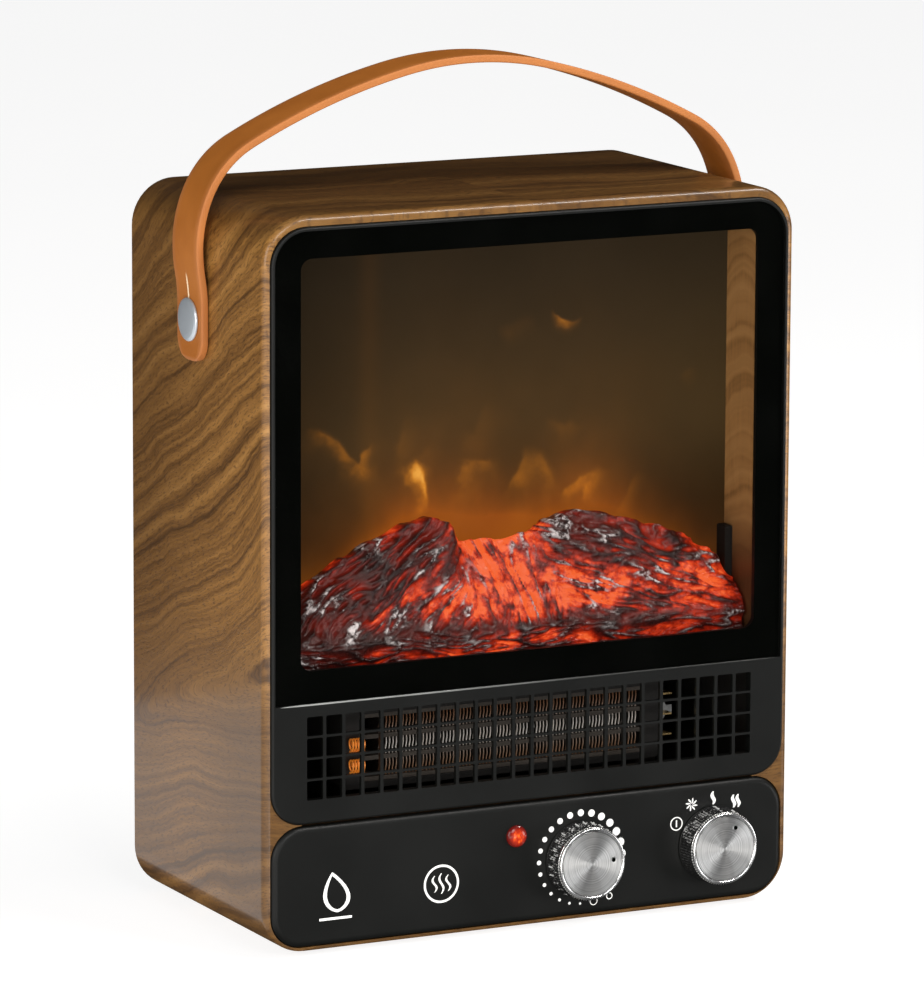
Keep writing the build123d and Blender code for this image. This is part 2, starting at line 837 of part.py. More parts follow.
# Corrugated foil fins: upright leaves joined by a foil strip above and below
with BuildPart() as heater_fins:
    leaves = int((heater_right - heater_left - 3 * foil_inset) / fin_pitch)
    for row in range(fin_rows):
        z = heater_bottom + bar_height + row * (bar_height + fin_height)
        for strip in (z, z + fin_height - foil_thickness):
            block(
                (heater_left + foil_inset, heater_front + 1, strip),
                (heater_right - foil_inset, heater_back - 1, strip + foil_thickness),
            )
        with Locations((heater_middle, (heater_front + heater_back) / 2, z + fin_height / 2)):
            with GridLocations(fin_pitch, 0, leaves, 1):
                Box(fin_thickness, heater_depth - 2, fin_height)

with BuildPart() as heater_terminals:
    for row in range(3):
        z = heater_bottom + 6 + row * terminal_pitch
        block(
            (heater_right + element_rim, terminal_front, z),
            (heater_right + element_rim + 10, terminal_back, z + terminal_thickness),
        )

with BuildPart() as thermal_cutout:
    cutout_front = heater_back + 1
    cutout_z = heater_bottom + 16
    cap = ring(0, cutout_radius, cutout_front, cutout_front + cutout_height)
    lathe(cap, (cutout_x, 0, cutout_z), (0, 1, 0))
    block(
        (cutout_x - cutout_half_strap, cutout_front, cutout_z - 2),
        (cutout_x + cutout_half_strap, cutout_front + 1, cutout_z + 2),
    )

# ---------------------------------------------------------------- blower
blower_origin = (0, blower_y, blower_z)
blower_plate_left = blower_left - 3
blower_plate_right = blower_right + 2

with BuildPart() as blower_housing:
    with BuildSketch(endwise(blower_plate_left)):
        with BuildLine():
            Line((duct_front, duct_low), (blower_y, blower_z - scroll_radius))
            CenterArc((blower_y, blower_z), scroll_radius, -90, scroll_turn)
        trace(line_width=blower_sheet)
        with BuildLine():
            Polyline((duct_front, duct_high), *tongue)
        trace(line_width=blower_sheet)
    extrude(amount=blower_plate_right - blower_plate_left)
    for x in (blower_plate_left, blower_plate_right):
        block((x, duct_front, side_plate_low), (x + blower_sheet, side_plate_back, side_plate_high))
    for x, radius in ((blower_plate_left, 5), (blower_plate_right, 3)):
        with BuildSketch(endwise(x - 1)):
            with Locations((blower_y, blower_z)):
                Circle(radius)
        extrude(amount=blower_sheet + 2, mode=Mode.SUBTRACT)

with BuildPart() as blower_bearing:
    bearing_end = blower_plate_left + 1.8
    lathe(ring(bore, 5, blower_plate_left - 2, bearing_end), blower_origin, (1, 0, 0))

with BuildPart() as blower_rotor:
    lathe(ring(0, spindle_radius, blower_plate_left - 1.5, blower_plate_right + 18), blower_origin, (1, 0, 0))
    for x in (blower_left, (blower_left + blower_right) / 2, blower_right - blower_sheet):
        lathe(ring(0, blower_radius, x, x + blower_sheet), blower_origin, (1, 0, 0))
    with BuildSketch(endwise(blower_left)):
        with Locations((blower_y, blower_z)):
            with PolarLocations(blower_radius - 3.4, blower_blades):
                Rectangle(blade_chord, blade_thickness, rotation=blade_lean)
    extrude(amount=blower_right - blower_left)

with BuildPart() as blower_motor:
    motor_front = blower_plate_right + blower_sheet
    can_front = motor_front + motor_collar_length
    can_back = can_front + blower_motor_length
    motor_end = can_back + motor_collar_length
    collar = [(bore, motor_front), (blower_motor_collar, motor_front), (blower_motor_collar, can_front)]
    can = [(blower_motor_radius, can_front), (blower_motor_radius, can_back), (blower_motor_boss, can_back)]
    rear = [(blower_motor_boss, motor_end), (0, motor_end), (0, motor_front + 18), (bore, motor_front + 18)]
    lathe(collar + can + rear, blower_origin, (1, 0, 0))

# ---------------------------------------------------------------- base electrics
casing_floor = casing_bottom + casing_wall

tip_axis = ((tip_x, tip_y, 0), (0, 0, 1))
tip_well_floor = casing_floor + tip_floor

with BuildPart() as tip_switch_body:
    with Locations((tip_x, tip_y, casing_floor + tip_body[2] / 2)):
        Box(*tip_body)
    pin_hole = tip_pin_radius + tip_pin_clearance
    well_top = casing_floor + tip_well_top
    for radius, low, high in (
        (pin_hole, casing_floor - 1, tip_well_floor),
        (tip_well_radius, tip_well_floor, well_top),
    ):
        with BuildSketch(Plane.XY.offset(low)):
            with Locations((tip_x, tip_y)):
                Circle(radius)
        extrude(amount=high - low, mode=Mode.SUBTRACT)

with BuildPart() as tip_switch_plunger:
    head_low = tip_well_floor + tip_travel + tip_head_spare
    head_high = head_low + tip_head_thickness
    pin = [(0, 0), (tip_pin_radius - 0.6, 0), (tip_pin_radius, 0.6), (tip_pin_radius, head_low)]
    head = [(tip_head_radius, head_low), (tip_head_radius, head_high), (0, head_high)]
    lathe(pin + head, *tip_axis)

with BuildPart() as terminal_block:
    block((*terminal_low, casing_floor), (*terminal_high, casing_floor + terminal_height))
    middle = [(a + b) / 2 for a, b in zip(terminal_low, terminal_high)]
    with Locations((*middle, casing_floor + terminal_height)):
        with GridLocations(terminal_screw_pitch, 0, 4, 1):
            Cylinder(terminal_screw_radius, terminal_screw_height)

with BuildPart() as cord_gland:
    cover_back = cover_front + cover_thickness
    inner_end = [(gland_bore, gland_front), (gland_flange, gland_front), (gland_flange, cover_front)]
    neck = [(gland_neck, cover_front), (gland_neck, cover_back), (gland_flange, cover_back)]
    outer_end = [(gland_flange, gland_collar), (gland_tip, gland_back), (gland_bore, gland_back)]
    lathe(inner_end + neck + outer_end, (gland_x, 0, gland_z), (0, 1, 0))

# ---------------------------------------------------------------- labels and files
pieces = {
    "casing_shell": casing_shell,
    "rear_cover": rear_cover,
    "rear_cover_screws": rear_cover_screws,
    "feet": feet,
    "front_frame": front_frame,
    "front_frame_screws": front_frame_screws,
    "window_pane": window_pane,
    "control_panel": control_panel,
    "control_panel_screws": control_panel_screws,
    "thermostat_body": thermostat_body,
    "thermostat_nut": thermostat_nut,
    "thermostat_shaft": thermostat_shaft,
    "thermostat_knob": thermostat_knob,
    "thermostat_knob_disc": thermostat_knob_disc,
    "selector_switch_body": selector_switch_body,
    "selector_nut": selector_nut,
    "selector_shaft": selector_shaft,
    "selector_knob": selector_knob,
    "selector_knob_disc": selector_knob_disc,
    "indicator_lens": indicator_lens,
    "indicator_lamp": indicator_lamp,
    "handle_strap": handle_strap,
    "handle_rivet_left": handle_rivet_left,
    "handle_rivet_right": handle_rivet_right,
    "handle_washers": handle_washers,
    "chamber_side_left": chamber_side_left,
    "chamber_side_right": chamber_side_right,
    "chamber_top": chamber_top,
    "chamber_floor": chamber_floor,
    "flame_screen": flame_screen,
    "ember_bed": ember_bed,
    "ember_led_board": ember_led_board,
    "flame_cradle": flame_cradle,
    "flame_led_board": flame_led_board,
    "flame_rotor": flame_rotor,
    "flame_rotor_bearing": flame_rotor_bearing,
    "flame_motor": flame_motor,
    "heater_frame": heater_frame,
    "ptc_bars": ptc_bars,
    "heater_fins": heater_fins,
    "heater_terminals": heater_terminals,
    "thermal_cutout": thermal_cutout,
    "blower_housing": blower_housing,
    "blower_bearing": blower_bearing,
    "blower_rotor": blower_rotor,
    "blower_motor": blower_motor,
    "tip_switch_body": tip_switch_body,
    "tip_switch_plunger": tip_switch_plunger,
    "terminal_block": terminal_block,
    "cord_gland": cord_gland,
}

os.makedirs("parts", exist_ok=True)
for name, piece in pieces.items():
    piece.part.label = name
    export_step(piece.part, f"parts/{name}.step")
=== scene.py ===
from math import atan2, cos, exp, hypot, pi, radians, sin, sqrt

import bmesh
import bpy
from mathutils import Matrix, Vector, noise


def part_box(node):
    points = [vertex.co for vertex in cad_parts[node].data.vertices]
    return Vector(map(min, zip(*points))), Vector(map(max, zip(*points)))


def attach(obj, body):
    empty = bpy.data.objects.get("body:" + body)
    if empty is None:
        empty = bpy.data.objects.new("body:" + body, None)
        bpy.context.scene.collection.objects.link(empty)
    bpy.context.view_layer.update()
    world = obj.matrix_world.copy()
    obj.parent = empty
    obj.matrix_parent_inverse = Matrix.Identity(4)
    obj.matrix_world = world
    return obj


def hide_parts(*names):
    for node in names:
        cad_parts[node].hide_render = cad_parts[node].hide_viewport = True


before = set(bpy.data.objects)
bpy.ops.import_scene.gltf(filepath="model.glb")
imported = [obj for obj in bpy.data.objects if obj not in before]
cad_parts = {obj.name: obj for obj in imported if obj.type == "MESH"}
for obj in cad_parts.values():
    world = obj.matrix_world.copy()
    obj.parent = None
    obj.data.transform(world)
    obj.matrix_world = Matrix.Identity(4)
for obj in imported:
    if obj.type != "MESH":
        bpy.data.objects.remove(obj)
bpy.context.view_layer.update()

MM = 0.001  # the meshes below are worked out in millimetres

# ------------------------------------------------------------------ shared helpers


def piece(name, points, faces, material, smooth=True):
    """A mesh piece from points in millimetres."""
    mesh = bpy.data.meshes.new(name)
    mesh.from_pydata([tuple(c * MM for c in p) for p in points], [], faces)
    mesh.update()
    thing = bpy.data.objects.new(name, mesh)
    bpy.context.scene.collection.objects.link(thing)
    mesh.materials.append(material)
    if smooth:
        mesh.shade_smooth()
    return thing


def settle(thing, body, slot, *nodes):
    """The piece rides on its body and stands for its CAD nodes; the slot is not used."""
    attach(thing, body)
    if nodes:
        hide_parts(*nodes)
    return thing


def mark(thing, name, values):
    """Stores one number per vertex on the mesh, for its material to read."""
    layer = thing.data.attributes.new(name, "FLOAT", "POINT")
    layer.data.foreach_set("value", values)


def grid_faces(rows, columns, wrap=False):
    """Quads over a grid of points stored row by row; wrap joins the last column to the first."""
    faces = []
    for r in range(rows - 1):
        for c in range(columns if wrap else columns - 1):
            d = (c + 1) % columns
            faces.append((r * columns + c, r * columns + d, (r + 1) * columns + d, (r + 1) * columns + c))
    return faces


def loops_between(name, rings, material, closed_front=False, closed_back=False):
    """A skin over rings of (x, y, z) points, one after the other; caps are optional."""
    count = len(rings[0])
    points = [p for ring_points in rings for p in ring_points]
    faces = grid_faces(len(rings), count, wrap=True)
    if closed_back:
        faces.append(tuple(range(count))[::-1])
    if closed_front:
        faces.append(tuple(range(len(points) - count, len(points))))
    return piece(name, points, faces, material)


def face_out(thing, crisp=38):
    """Points the mesh's faces outwards and keeps edges sharper than so many degrees crisp."""
    work = bmesh.new()
    work.from_mesh(thing.data)
    bmesh.ops.remove_doubles(work, verts=work.verts, dist=0.000002)
    bmesh.ops.recalc_face_normals(work, faces=work.faces)
    work.to_mesh(thing.data)
    work.free()
    thing.data.set_sharp_from_angle(angle=radians(crisp))
    return thing


def smoothstep(low, high, x):
    t = min(max((x - low) / (high - low), 0.0), 1.0)
    return t * t * (3 - 2 * t)


def bell(x, middle, spread):
    return exp(-(((x - middle) / spread) ** 2))


def wire(value, socket):
    """Links a value into a socket, or sets the socket to a plain number, colour or vector."""
    if isinstance(value, Value):
        value = value.socket
    if isinstance(value, bpy.types.NodeSocket):
        socket.id_data.links.new(value, socket)
    else:
        if isinstance(value, tuple) and len(value) == 3 and socket.type == "RGBA":
            value = (*value, 1.0)
        socket.default_value = value


def sum_of(operation, *values, clamp=False):
    """A Math node over values; at least one of them is a Value."""
    tree = next(v.socket for v in values if isinstance(v, Value)).id_data
    made = tree.nodes.new("ShaderNodeMath")
    made.operation = operation
    made.use_clamp = clamp
    for value, socket in zip(values, made.inputs):
        wire(value, socket)
    return Value(made.outputs[0])


class Value:
    """A node's output that can be used in sums: each sign adds a Math node to the same tree."""

    def __init__(self, socket):
        self.socket = socket

    def __add__(self, other):
        return sum_of("ADD", self, other)

    def __radd__(self, other):
        return sum_of("ADD", other, self)

    def __sub__(self, other):
        return sum_of("SUBTRACT", self, other)

    def __rsub__(self, other):
        return sum_of("SUBTRACT", other, self)

    def __mul__(self, other):
        return sum_of("MULTIPLY", self, other)

    def __truediv__(self, other):
        return sum_of("DIVIDE", self, other)

    def below(self, limit):
        return sum_of("LESS_THAN", self, limit)

    def above(self, limit):
        return sum_of("GREATER_THAN", self, limit)

    def least(self, floor=0.0):
        """The value, but never under the floor."""
        return sum_of("MAXIMUM", self, floor)

    def fall(self):
        """1 at 0, dropping away exponentially."""
        return sum_of("EXPONENT", self * -1.0)

    def fit(self, low, high, to_low=0.0, to_high=1.0, kind="LINEAR"):
        """The value moved from one range to another, and held at its ends."""
        made = self.socket.id_data.nodes.new("ShaderNodeMapRange")
        made.interpolation_type = kind
        for given, socket in zip((self, low, high, to_low, to_high), made.inputs):
            wire(given, socket)
        return Value(made.outputs[0])

    def bell(self, middle, spread):
        """1 at the middle, dropping away on both sides."""
        off = (self - middle) / spread
        return (off * off).fall()


def set_up(made, settings):
    for key, value in settings.items():
        setattr(made, key, value)
    return made


class Finish:
    """A procedural material: short calls that add a node and wire it up."""

    def __init__(self, name):
        self.material = bpy.data.materials.new(name)
        self.material.use_nodes = True
        self.tree = self.material.node_tree
        self.shader = self.tree.nodes["Principled BSDF"]
        self.place = Value(self.node("ShaderNodeTexCoord").outputs["Object"])
        cut = self.node("ShaderNodeSeparateXYZ")
        wire(self.place, cut.inputs[0])
        self.x, self.y, self.z = (Value(axis) for axis in cut.outputs)

    def node(self, kind, **settings):
        return set_up(self.tree.nodes.new(kind), settings)

    def fed(self, kind, *values, **settings):
        """A node's first output, with values for its inputs in their order."""
        made = self.node(kind, **settings)
        for value, socket in zip(values, made.inputs):
            wire(value, socket)
        return Value(made.outputs[0])

    def vector(self, x, y, z):
        return self.fed("ShaderNodeCombineXYZ", x, y, z)

    def stretched(self, scale, turn=(0, 0, 0)):
        made = self.node("ShaderNodeMapping")
        for key, value in (("Vector", self.place), ("Scale", scale), ("Rotation", turn)):
            wire(value, made.inputs[key])
        return Value(made.outputs[0])

    def noise(self, scale, vector=None, detail=3.0, roughness=0.5):
        made = self.node("ShaderNodeTexNoise")
        wire(vector or self.place, made.inputs["Vector"])
        return self.tuned(made, scale, detail, roughness)

    def along(self, value, scale, detail=3.0, roughness=0.5):
        """Noise along one number, for bands."""
        made = self.node("ShaderNodeTexNoise", noise_dimensions="1D")
        wire(value, made.inputs["W"])
        return self.tuned(made, scale, detail, roughness)

    def tuned(self, made, scale, detail, roughness):
        for key, value in (("Scale", scale), ("Detail", detail), ("Roughness", roughness)):
            made.inputs[key].default_value = value
        return Value(made.outputs["Fac"])

    def cells(self, scale, vector, feature="F1"):
        made = self.node("ShaderNodeTexVoronoi", feature=feature)
        wire(vector, made.inputs["Vector"])
        made.inputs["Scale"].default_value = scale
        return Value(made.outputs["Distance"])

    def fit(self, value, *ranges):
        return value.fit(*ranges)

    def ease(self, value, *ranges):
        """As fit, but slow to leave and slow to arrive."""
        return value.fit(*ranges, kind="SMOOTHSTEP")

    def mix(self, share, first, second):
        made = self.node("ShaderNodeMix", data_type="RGBA")
        for value, key in ((share, "Factor"), (first, 6), (second, 7)):
            wire(value, made.inputs[key])
        return Value(made.outputs[2])

    def ramp(self, value, *stops):
        made = self.node("ShaderNodeValToRGB")
        wire(value, made.inputs[0])
        elements = made.color_ramp.elements
        while len(elements) < len(stops):
            elements.new(0.5)
        for element, (at, colour) in zip(elements, stops):
            element.position = at
            element.color = (*colour, 1.0)
        return Value(made.outputs[0])

    def stored(self, name):
        return Value(self.node("ShaderNodeAttribute", attribute_name=name).outputs["Fac"])

    def bump(self, height, distance, strength=1.0):
        made = self.node("ShaderNodeBump")
        for key, value in (("Height", height), ("Distance", distance), ("Strength", strength)):
            wire(value, made.inputs[key])
        wire(made.outputs[0], self.shader.inputs["Normal"])

    def set(self, **values):
        """Sets the shader's sockets; an underscore in a name stands for a space."""
        for key, value in values.items():
            wire(value, self.shader.inputs[key.replace("_", " ")])
        return self.material


class Recipe:
    """A Geometry Nodes tree with named inputs, built step by step."""

    def __init__(self, name, **inputs):
        self.tree = bpy.data.node_groups.new(name, "GeometryNodeTree")
        face = self.tree.interface
        face.new_socket("Geometry", in_out="OUTPUT", socket_type="NodeSocketGeometry")
        face.new_socket("Geometry", in_out="INPUT", socket_type="NodeSocketGeometry")
        self.keys = {}
        for label, value in inputs.items():
            kind = "NodeSocketInt" if isinstance(value, int) else "NodeSocketFloat"
            socket = face.new_socket(label.replace("_", " ").capitalize(), in_out="INPUT", socket_type=kind)
            self.keys[socket.identifier] = value
        sockets = self.tree.nodes.new("NodeGroupInput").outputs
        self.given = {label: Value(socket) for label, socket in zip(inputs, list(sockets)[1:])}

    def add(self, kind, inputs=None, out=0, **settings):
        """Adds a node with values for some of its inputs, and gives one of its outputs."""
        made = set_up(self.tree.nodes.new(kind), settings)
        for key, value in (inputs or {}).items():
            wire(value, made.inputs[key])
        return Value(made.outputs[out])

    def vector(self, x=0.0, y=0.0, z=0.0):
        return self.add("ShaderNodeCombineXYZ", {0: x, 1: y, 2: z})

    def copies(self, places, thing, **more):
        return self.add("GeometryNodeInstanceOnPoints", {"Points": places, "Instance": thing, **more})

    def make(self, name, geometry, material):
        """Ends the tree, runs it and keeps its result as a plain mesh piece."""
        real = self.add("GeometryNodeRealizeInstances", {"Geometry": geometry})
        coated = self.add("GeometryNodeSetMaterial", {"Geometry": real, "Material": material})
        wire(coated, self.tree.nodes.new("NodeGroupOutput").inputs[0])
        holder = bpy.data.objects.new(name + "_source", bpy.data.meshes.new(name + "_source"))
        bpy.context.scene.collection.objects.link(holder)
        modifier = holder.modifiers.new(name, "NODES")
        modifier.node_group = self.tree
        for key, value in self.keys.items():
            modifier[key] = value
        bpy.context.view_layer.update()
        evaluated = holder.evaluated_get(bpy.context.evaluated_depsgraph_get())
        mesh = bpy.data.meshes.new_from_object(evaluated)
        mesh.name = name
        bpy.data.objects.remove(holder)
        made = bpy.data.objects.new(name, mesh)
        bpy.context.scene.collection.objects.link(made)
        return made


# ------------------------------------------------------------------ finishes


def walnut_finish():
    """Walnut-look film: hairpin figure low on the sides, slanting grain above, straight on top."""
    f = Finish("walnut_film")
    casing_back, top_bend = 0.080, 0.334
    axis_cos, axis_sin = 0.94, 0.342  # the figure's axis rises to the front by 20 degrees
    a = casing_back - f.y + f.x.above(0.0) * 0.031 - 0.100
    b = sum_of("SMOOTH_MIN", f.z, top_bend, 0.02) - 0.122
    along = a * axis_cos + b * axis_sin
    across = b * axis_cos - a * axis_sin
    shifted = across + f.fit(f.noise(7.0, detail=2.0), 0.3, 0.7, -0.009, 0.009)
    level = sum_of("SQRT", shifted * shifted + 0.00003) - along * 0.17
    level += f.fit(f.noise(38.0, detail=3.0, roughness=0.55), 0.3, 0.7, -0.0011, 0.0011)
    level += f.fit(f.noise(160.0, detail=2.0), 0.3, 0.7, -0.0003, 0.0003)
    run = along + f.x
    broad = f.along(level, 42.0, detail=2.0, roughness=0.6)
    figure = f.along(level, 150.0, detail=3.0, roughness=0.62)
    fibre = f.noise(1.0, f.vector(level * 900.0, run * 28.0, f.z), 3.0, 0.6)
    fine = f.noise(1.0, f.vector(level * 2600.0, run * 130.0, f.y), 2.0)
    ticks = f.noise(1.0, f.vector(level * 1500.0, run * 260.0, 3.0), 2.0)
    tone = figure * 0.60 + broad * 0.42 + fibre * 0.38 + fine * 0.22
    colour = f.ramp(
        f.fit(tone, 0.50, 1.12),
        (0.0, (0.034, 0.0145, 0.0042)),
        (0.22, (0.088, 0.0390, 0.0095)),
        (0.42, (0.195, 0.0890, 0.0210)),
        (0.64, (0.305, 0.1450, 0.0340)),
        (1.0, (0.410, 0.2080, 0.0560)),
    )
    pores = f.ease(ticks, 0.53, 0.66)
    # painted shade: the top is darkened where less light falls on it; the rear and the low front are darker
    # too
    top = f.ease(f.z, 0.336, 0.351)
    rear = f.ease(f.y, -0.045, 0.080)
    low_front = f.ease(f.z, 0.175, 0.095) * f.ease(f.y, 0.045, -0.050)
    for share, darker in (
        (pores * 0.62, (0.060, 0.026, 0.009)),
        (top * 0.56, (0.046, 0.022, 0.0085)),
        (rear * 0.50, (0.050, 0.022, 0.0060)),
        (low_front * 0.62, (0.050, 0.024, 0.0075)),
    ):
        colour = f.mix(share, colour, darker)
    # only the outside and the rolled-in front edge carry the film; the inside is bare moulding
    corner_x, corner_z, middle_z, corner_radius = 0.118, 0.15235, 0.17685, 0.0209
    over_x = (sum_of("ABSOLUTE", f.x) - corner_x).least()
    over_z = (sum_of("ABSOLUTE", f.z - middle_z) - corner_z).least()
    outside = (over_x * over_x + over_z * over_z).above(corner_radius**2)
    filmed = sum_of("MAXIMUM", outside, f.y.below(-0.052))
    bare = f.mix(f.y.below(-0.0345), (0.020, 0.017, 0.014), (0.420, 0.250, 0.120))
    f.bump(fibre - pores, 0.00008, 0.35)
    f.set(Base_Color=f.mix(filmed, bare, colour), Roughness=f.fit(fibre, 0.25, 0.75, 0.30, 0.42))
    return f.set(Specular_IOR_Level=0.26, Coat_Weight=0.34, Coat_Roughness=0.12)


def moulding_finish(name, tint, roughness, grain=0.00003, shine=0.4):
    """Moulded plastic with a fine spark-eroded texture and slight clouding."""
    f = Finish(name)
    cloud = f.noise(24.0, detail=3.0)
    grit = f.noise(2600.0, detail=2.0)
    colour = f.mix(f.fit(cloud, 0.3, 0.7), tuple(c * 0.78 for c in tint), tint)
    colour = f.mix(f.ease(grit, 0.55, 0.75) * 0.25, colour, tuple(c * 1.7 for c in tint))
    f.bump(grit, grain, 0.6)
    f.set(Base_Color=colour, Specular_IOR_Level=shine)
    return f.set(Roughness=f.fit(cloud, 0.3, 0.7, roughness - 0.04, roughness + 0.05))


def metal_finish(
    name, tint, roughness, streaks=(1.0, 1.0, 1.0), scale=400.0, wear=0.35, dark=0.45, metallic=1.0
):
    """Metal with drawn streaks along one way and faint tarnish."""
    f = Finish(name)
    lines = f.noise(scale, f.stretched(streaks), detail=3.0, roughness=0.6)
    cloud = f.noise(60.0, detail=4.0)
    colour = f.mix(f.fit(cloud, 0.35, 0.75, 0.0, wear), tint, tuple(c * dark for c in tint))
    f.bump(lines, 0.00002, 0.5)
    f.set(Base_Color=colour, Roughness=f.fit(lines, 0.3, 0.7, roughness * 0.75, roughness * 1.3))
    return f.set(Metallic=metallic)


def leather_finish():
    """Vegetable-tanned strap: smooth tan face, paler burnished edge, cream in the slit."""
    f = Finish("tan_strap_leather")
    mottle = f.fit(f.noise(45.0, detail=4.0, roughness=0.6), 0.3, 0.7)
    grain = f.cells(900.0, f.stretched((1.0, 1.0, 0.8)), "DISTANCE_TO_EDGE")
    pores = f.noise(1500.0, detail=2.0)
    colour = f.mix(mottle, (0.375, 0.118, 0.016), (0.445, 0.148, 0.022))
    colour = f.mix(f.ease(pores, 0.58, 0.72) * 0.22, colour, (0.34, 0.105, 0.022))
    colour = f.mix(f.stored("edge") * 0.22, colour, (0.56, 0.240, 0.120))
    colour = f.mix(f.stored("slit"), colour, (0.86, 0.66, 0.44))
    f.bump(grain * 0.7 + pores * 0.5, 0.00007, 0.45)
    f.set(Base_Color=colour, Roughness=f.fit(mottle, 0.0, 1.0, 0.44, 0.56))
    return f.set(Specular_IOR_Level=0.26)


def glass_finish():
    """Clear smoked pane: lets sight and light through, mirrors a little, with faint smears."""
    f = Finish("smoked_pane_glass")
    smear = f.noise(30.0, detail=5.0)
    tint = f.mix(f.fit(smear, 0.3, 0.7), (0.90, 0.89, 0.88), (0.93, 0.92, 0.91))
    clear = f.fed("ShaderNodeBsdfTransparent", tint)
    f.set(Base_Color=(0.004, 0.004, 0.004), Roughness=f.fit(smear, 0.3, 0.7, 0.02, 0.06))
    front = 1.0 - Value(f.node("ShaderNodeNewGeometry").outputs["Backfacing"])
    share = f.fed("ShaderNodeFresnel", 1.22) * front
    both = f.fed("ShaderNodeMixShader", share, clear, f.shader.outputs[0])
    wire(both, f.tree.nodes["Material Output"].inputs["Surface"])
    return f.material


def pane_print_finish():
    """Black enamel printed on the back of the pane, seen glossy through it."""
    f = Finish("black_enamel")
    cloud = f.noise(35.0, detail=4.0)
    colour = f.mix(f.fit(cloud, 0.3, 0.7), (0.0006, 0.0009, 0.0006), (0.0010, 0.0013, 0.0010))
    return f.set(Base_Color=colour, Roughness=f.fit(cloud, 0.3, 0.7, 0.14, 0.22), Specular_IOR_Level=0.12)


def oak_print_finish():
    """Paler wood print on the chamber's side walls: upright grain crossed by slow arches."""
    f = Finish("oak_print")
    from_front = f.y + 0.056
    arch = from_front * from_front * 26.0
    level = f.z + arch + f.fit(f.noise(18.0, detail=3.0), 0.3, 0.7, -0.006, 0.006)
    bands = f.along(level, 130.0, detail=2.0, roughness=0.6)
    fibre = f.noise(1.0, f.stretched((400.0, 1100.0, 45.0)), detail=3.0, roughness=0.6)
    colour = f.ramp(
        f.fit(bands * 0.6 + fibre * 0.4, 0.30, 0.70),
        (0.0, (0.20, 0.098, 0.030)),
        (0.35, (0.32, 0.160, 0.052)),
        (1.0, (0.42, 0.225, 0.080)),
    )
    # painted shade: the walls turn dark towards their foot
    colour = f.mix(f.ease(f.z, 0.205, 0.160), colour, (0.070, 0.030, 0.010))
    f.bump(fibre, 0.00005, 0.3)
    return f.set(Base_Color=colour, Roughness=f.fit(fibre, 0.3, 0.7, 0.42, 0.55))


def flame_wisp_group():
    """One licking flame: a bent streak, crisp on its outer side and soft on its inner one."""
    group = bpy.data.node_groups.new("flame_wisp", "ShaderNodeTree")
    labels = ("X", "Z", "Middle X", "Middle Z", "Turn", "Length", "Width", "Bend")
    for label in labels:
        group.interface.new_socket(label, in_out="INPUT", socket_type="NodeSocketFloat")
    group.interface.new_socket("Glow", in_out="OUTPUT", socket_type="NodeSocketFloat")
    given = group.nodes.new("NodeGroupInput").outputs
    x, z, middle_x, middle_z, turn, length, width, bend = (Value(given[label]) for label in labels)
    dx, dz = x - middle_x, z - middle_z
    c, s = sum_of("COSINE", turn), sum_of("SINE", turn)
    t = (dx * c + dz * s) / length
    tt = t * t
    off = (dz * c - dx * s + tt * bend) / width
    outer, inner = off.least() * 3.2, (off * -1.0).least()
    ends = sum_of("POWER", (1.0 - tt).least(), 1.4)
    glow = (outer * outer + inner * inner).fall() * ends
    wire(glow, group.nodes.new("NodeGroupOutput").inputs["Glow"])
    return group


# Flames on the screen: middle X and Z, turn in degrees, half length, width, bend (mm), strength.
FLAMES = (
    (-87, 236, -38, 21, 4.5, 3.0, 0.55),
    (-73, 232, 62, 9, 3.0, 1.0, 0.55),
    (-77, 226, 5, 13, 6.0, -2.0, 0.30),
    (-40, 214, -68, 15, 6.0, 6.0, 1.25),
    (-44, 221, 12, 9, 6.0, 3.0, 0.45),
    (-48, 220, 58, 20, 8.0, 4.0, 0.28),
    (-18, 215, 66, 15, 9.0, 4.0, 0.38),
    (-10, 224, -12, 12, 5.0, 4.0, 0.28),
    (11, 213, 55, 15, 6.0, -5.0, 0.48),
    (26, 216, -60, 15, 8.0, 4.0, 0.36),
    (40, 212, 40, 16, 6.0, 5.0, 0.75),
    (46, 207, 78, 12, 7.0, 4.0, 0.55),
    (31, 286, -28, 10, 3.2, -5.0, 0.80),
    (8, 289, 10, 9, 6.0, 0.0, 0.12),
    (32, 236, -14, 12, 6.0, -3.0, 0.20),
    (-14, 240, 70, 16, 8.0, 2.0, 0.16),
    (-55, 232, 85, 16, 7.0, 3.0, 0.18),
    (68, 199, 60, 14, 6.0, 3.0, 0.22),
    (101, 256, 10, 8, 5.0, 0.0, 0.07),
)
FLAME_UNITS = (MM, MM, radians(1), MM, MM, MM)


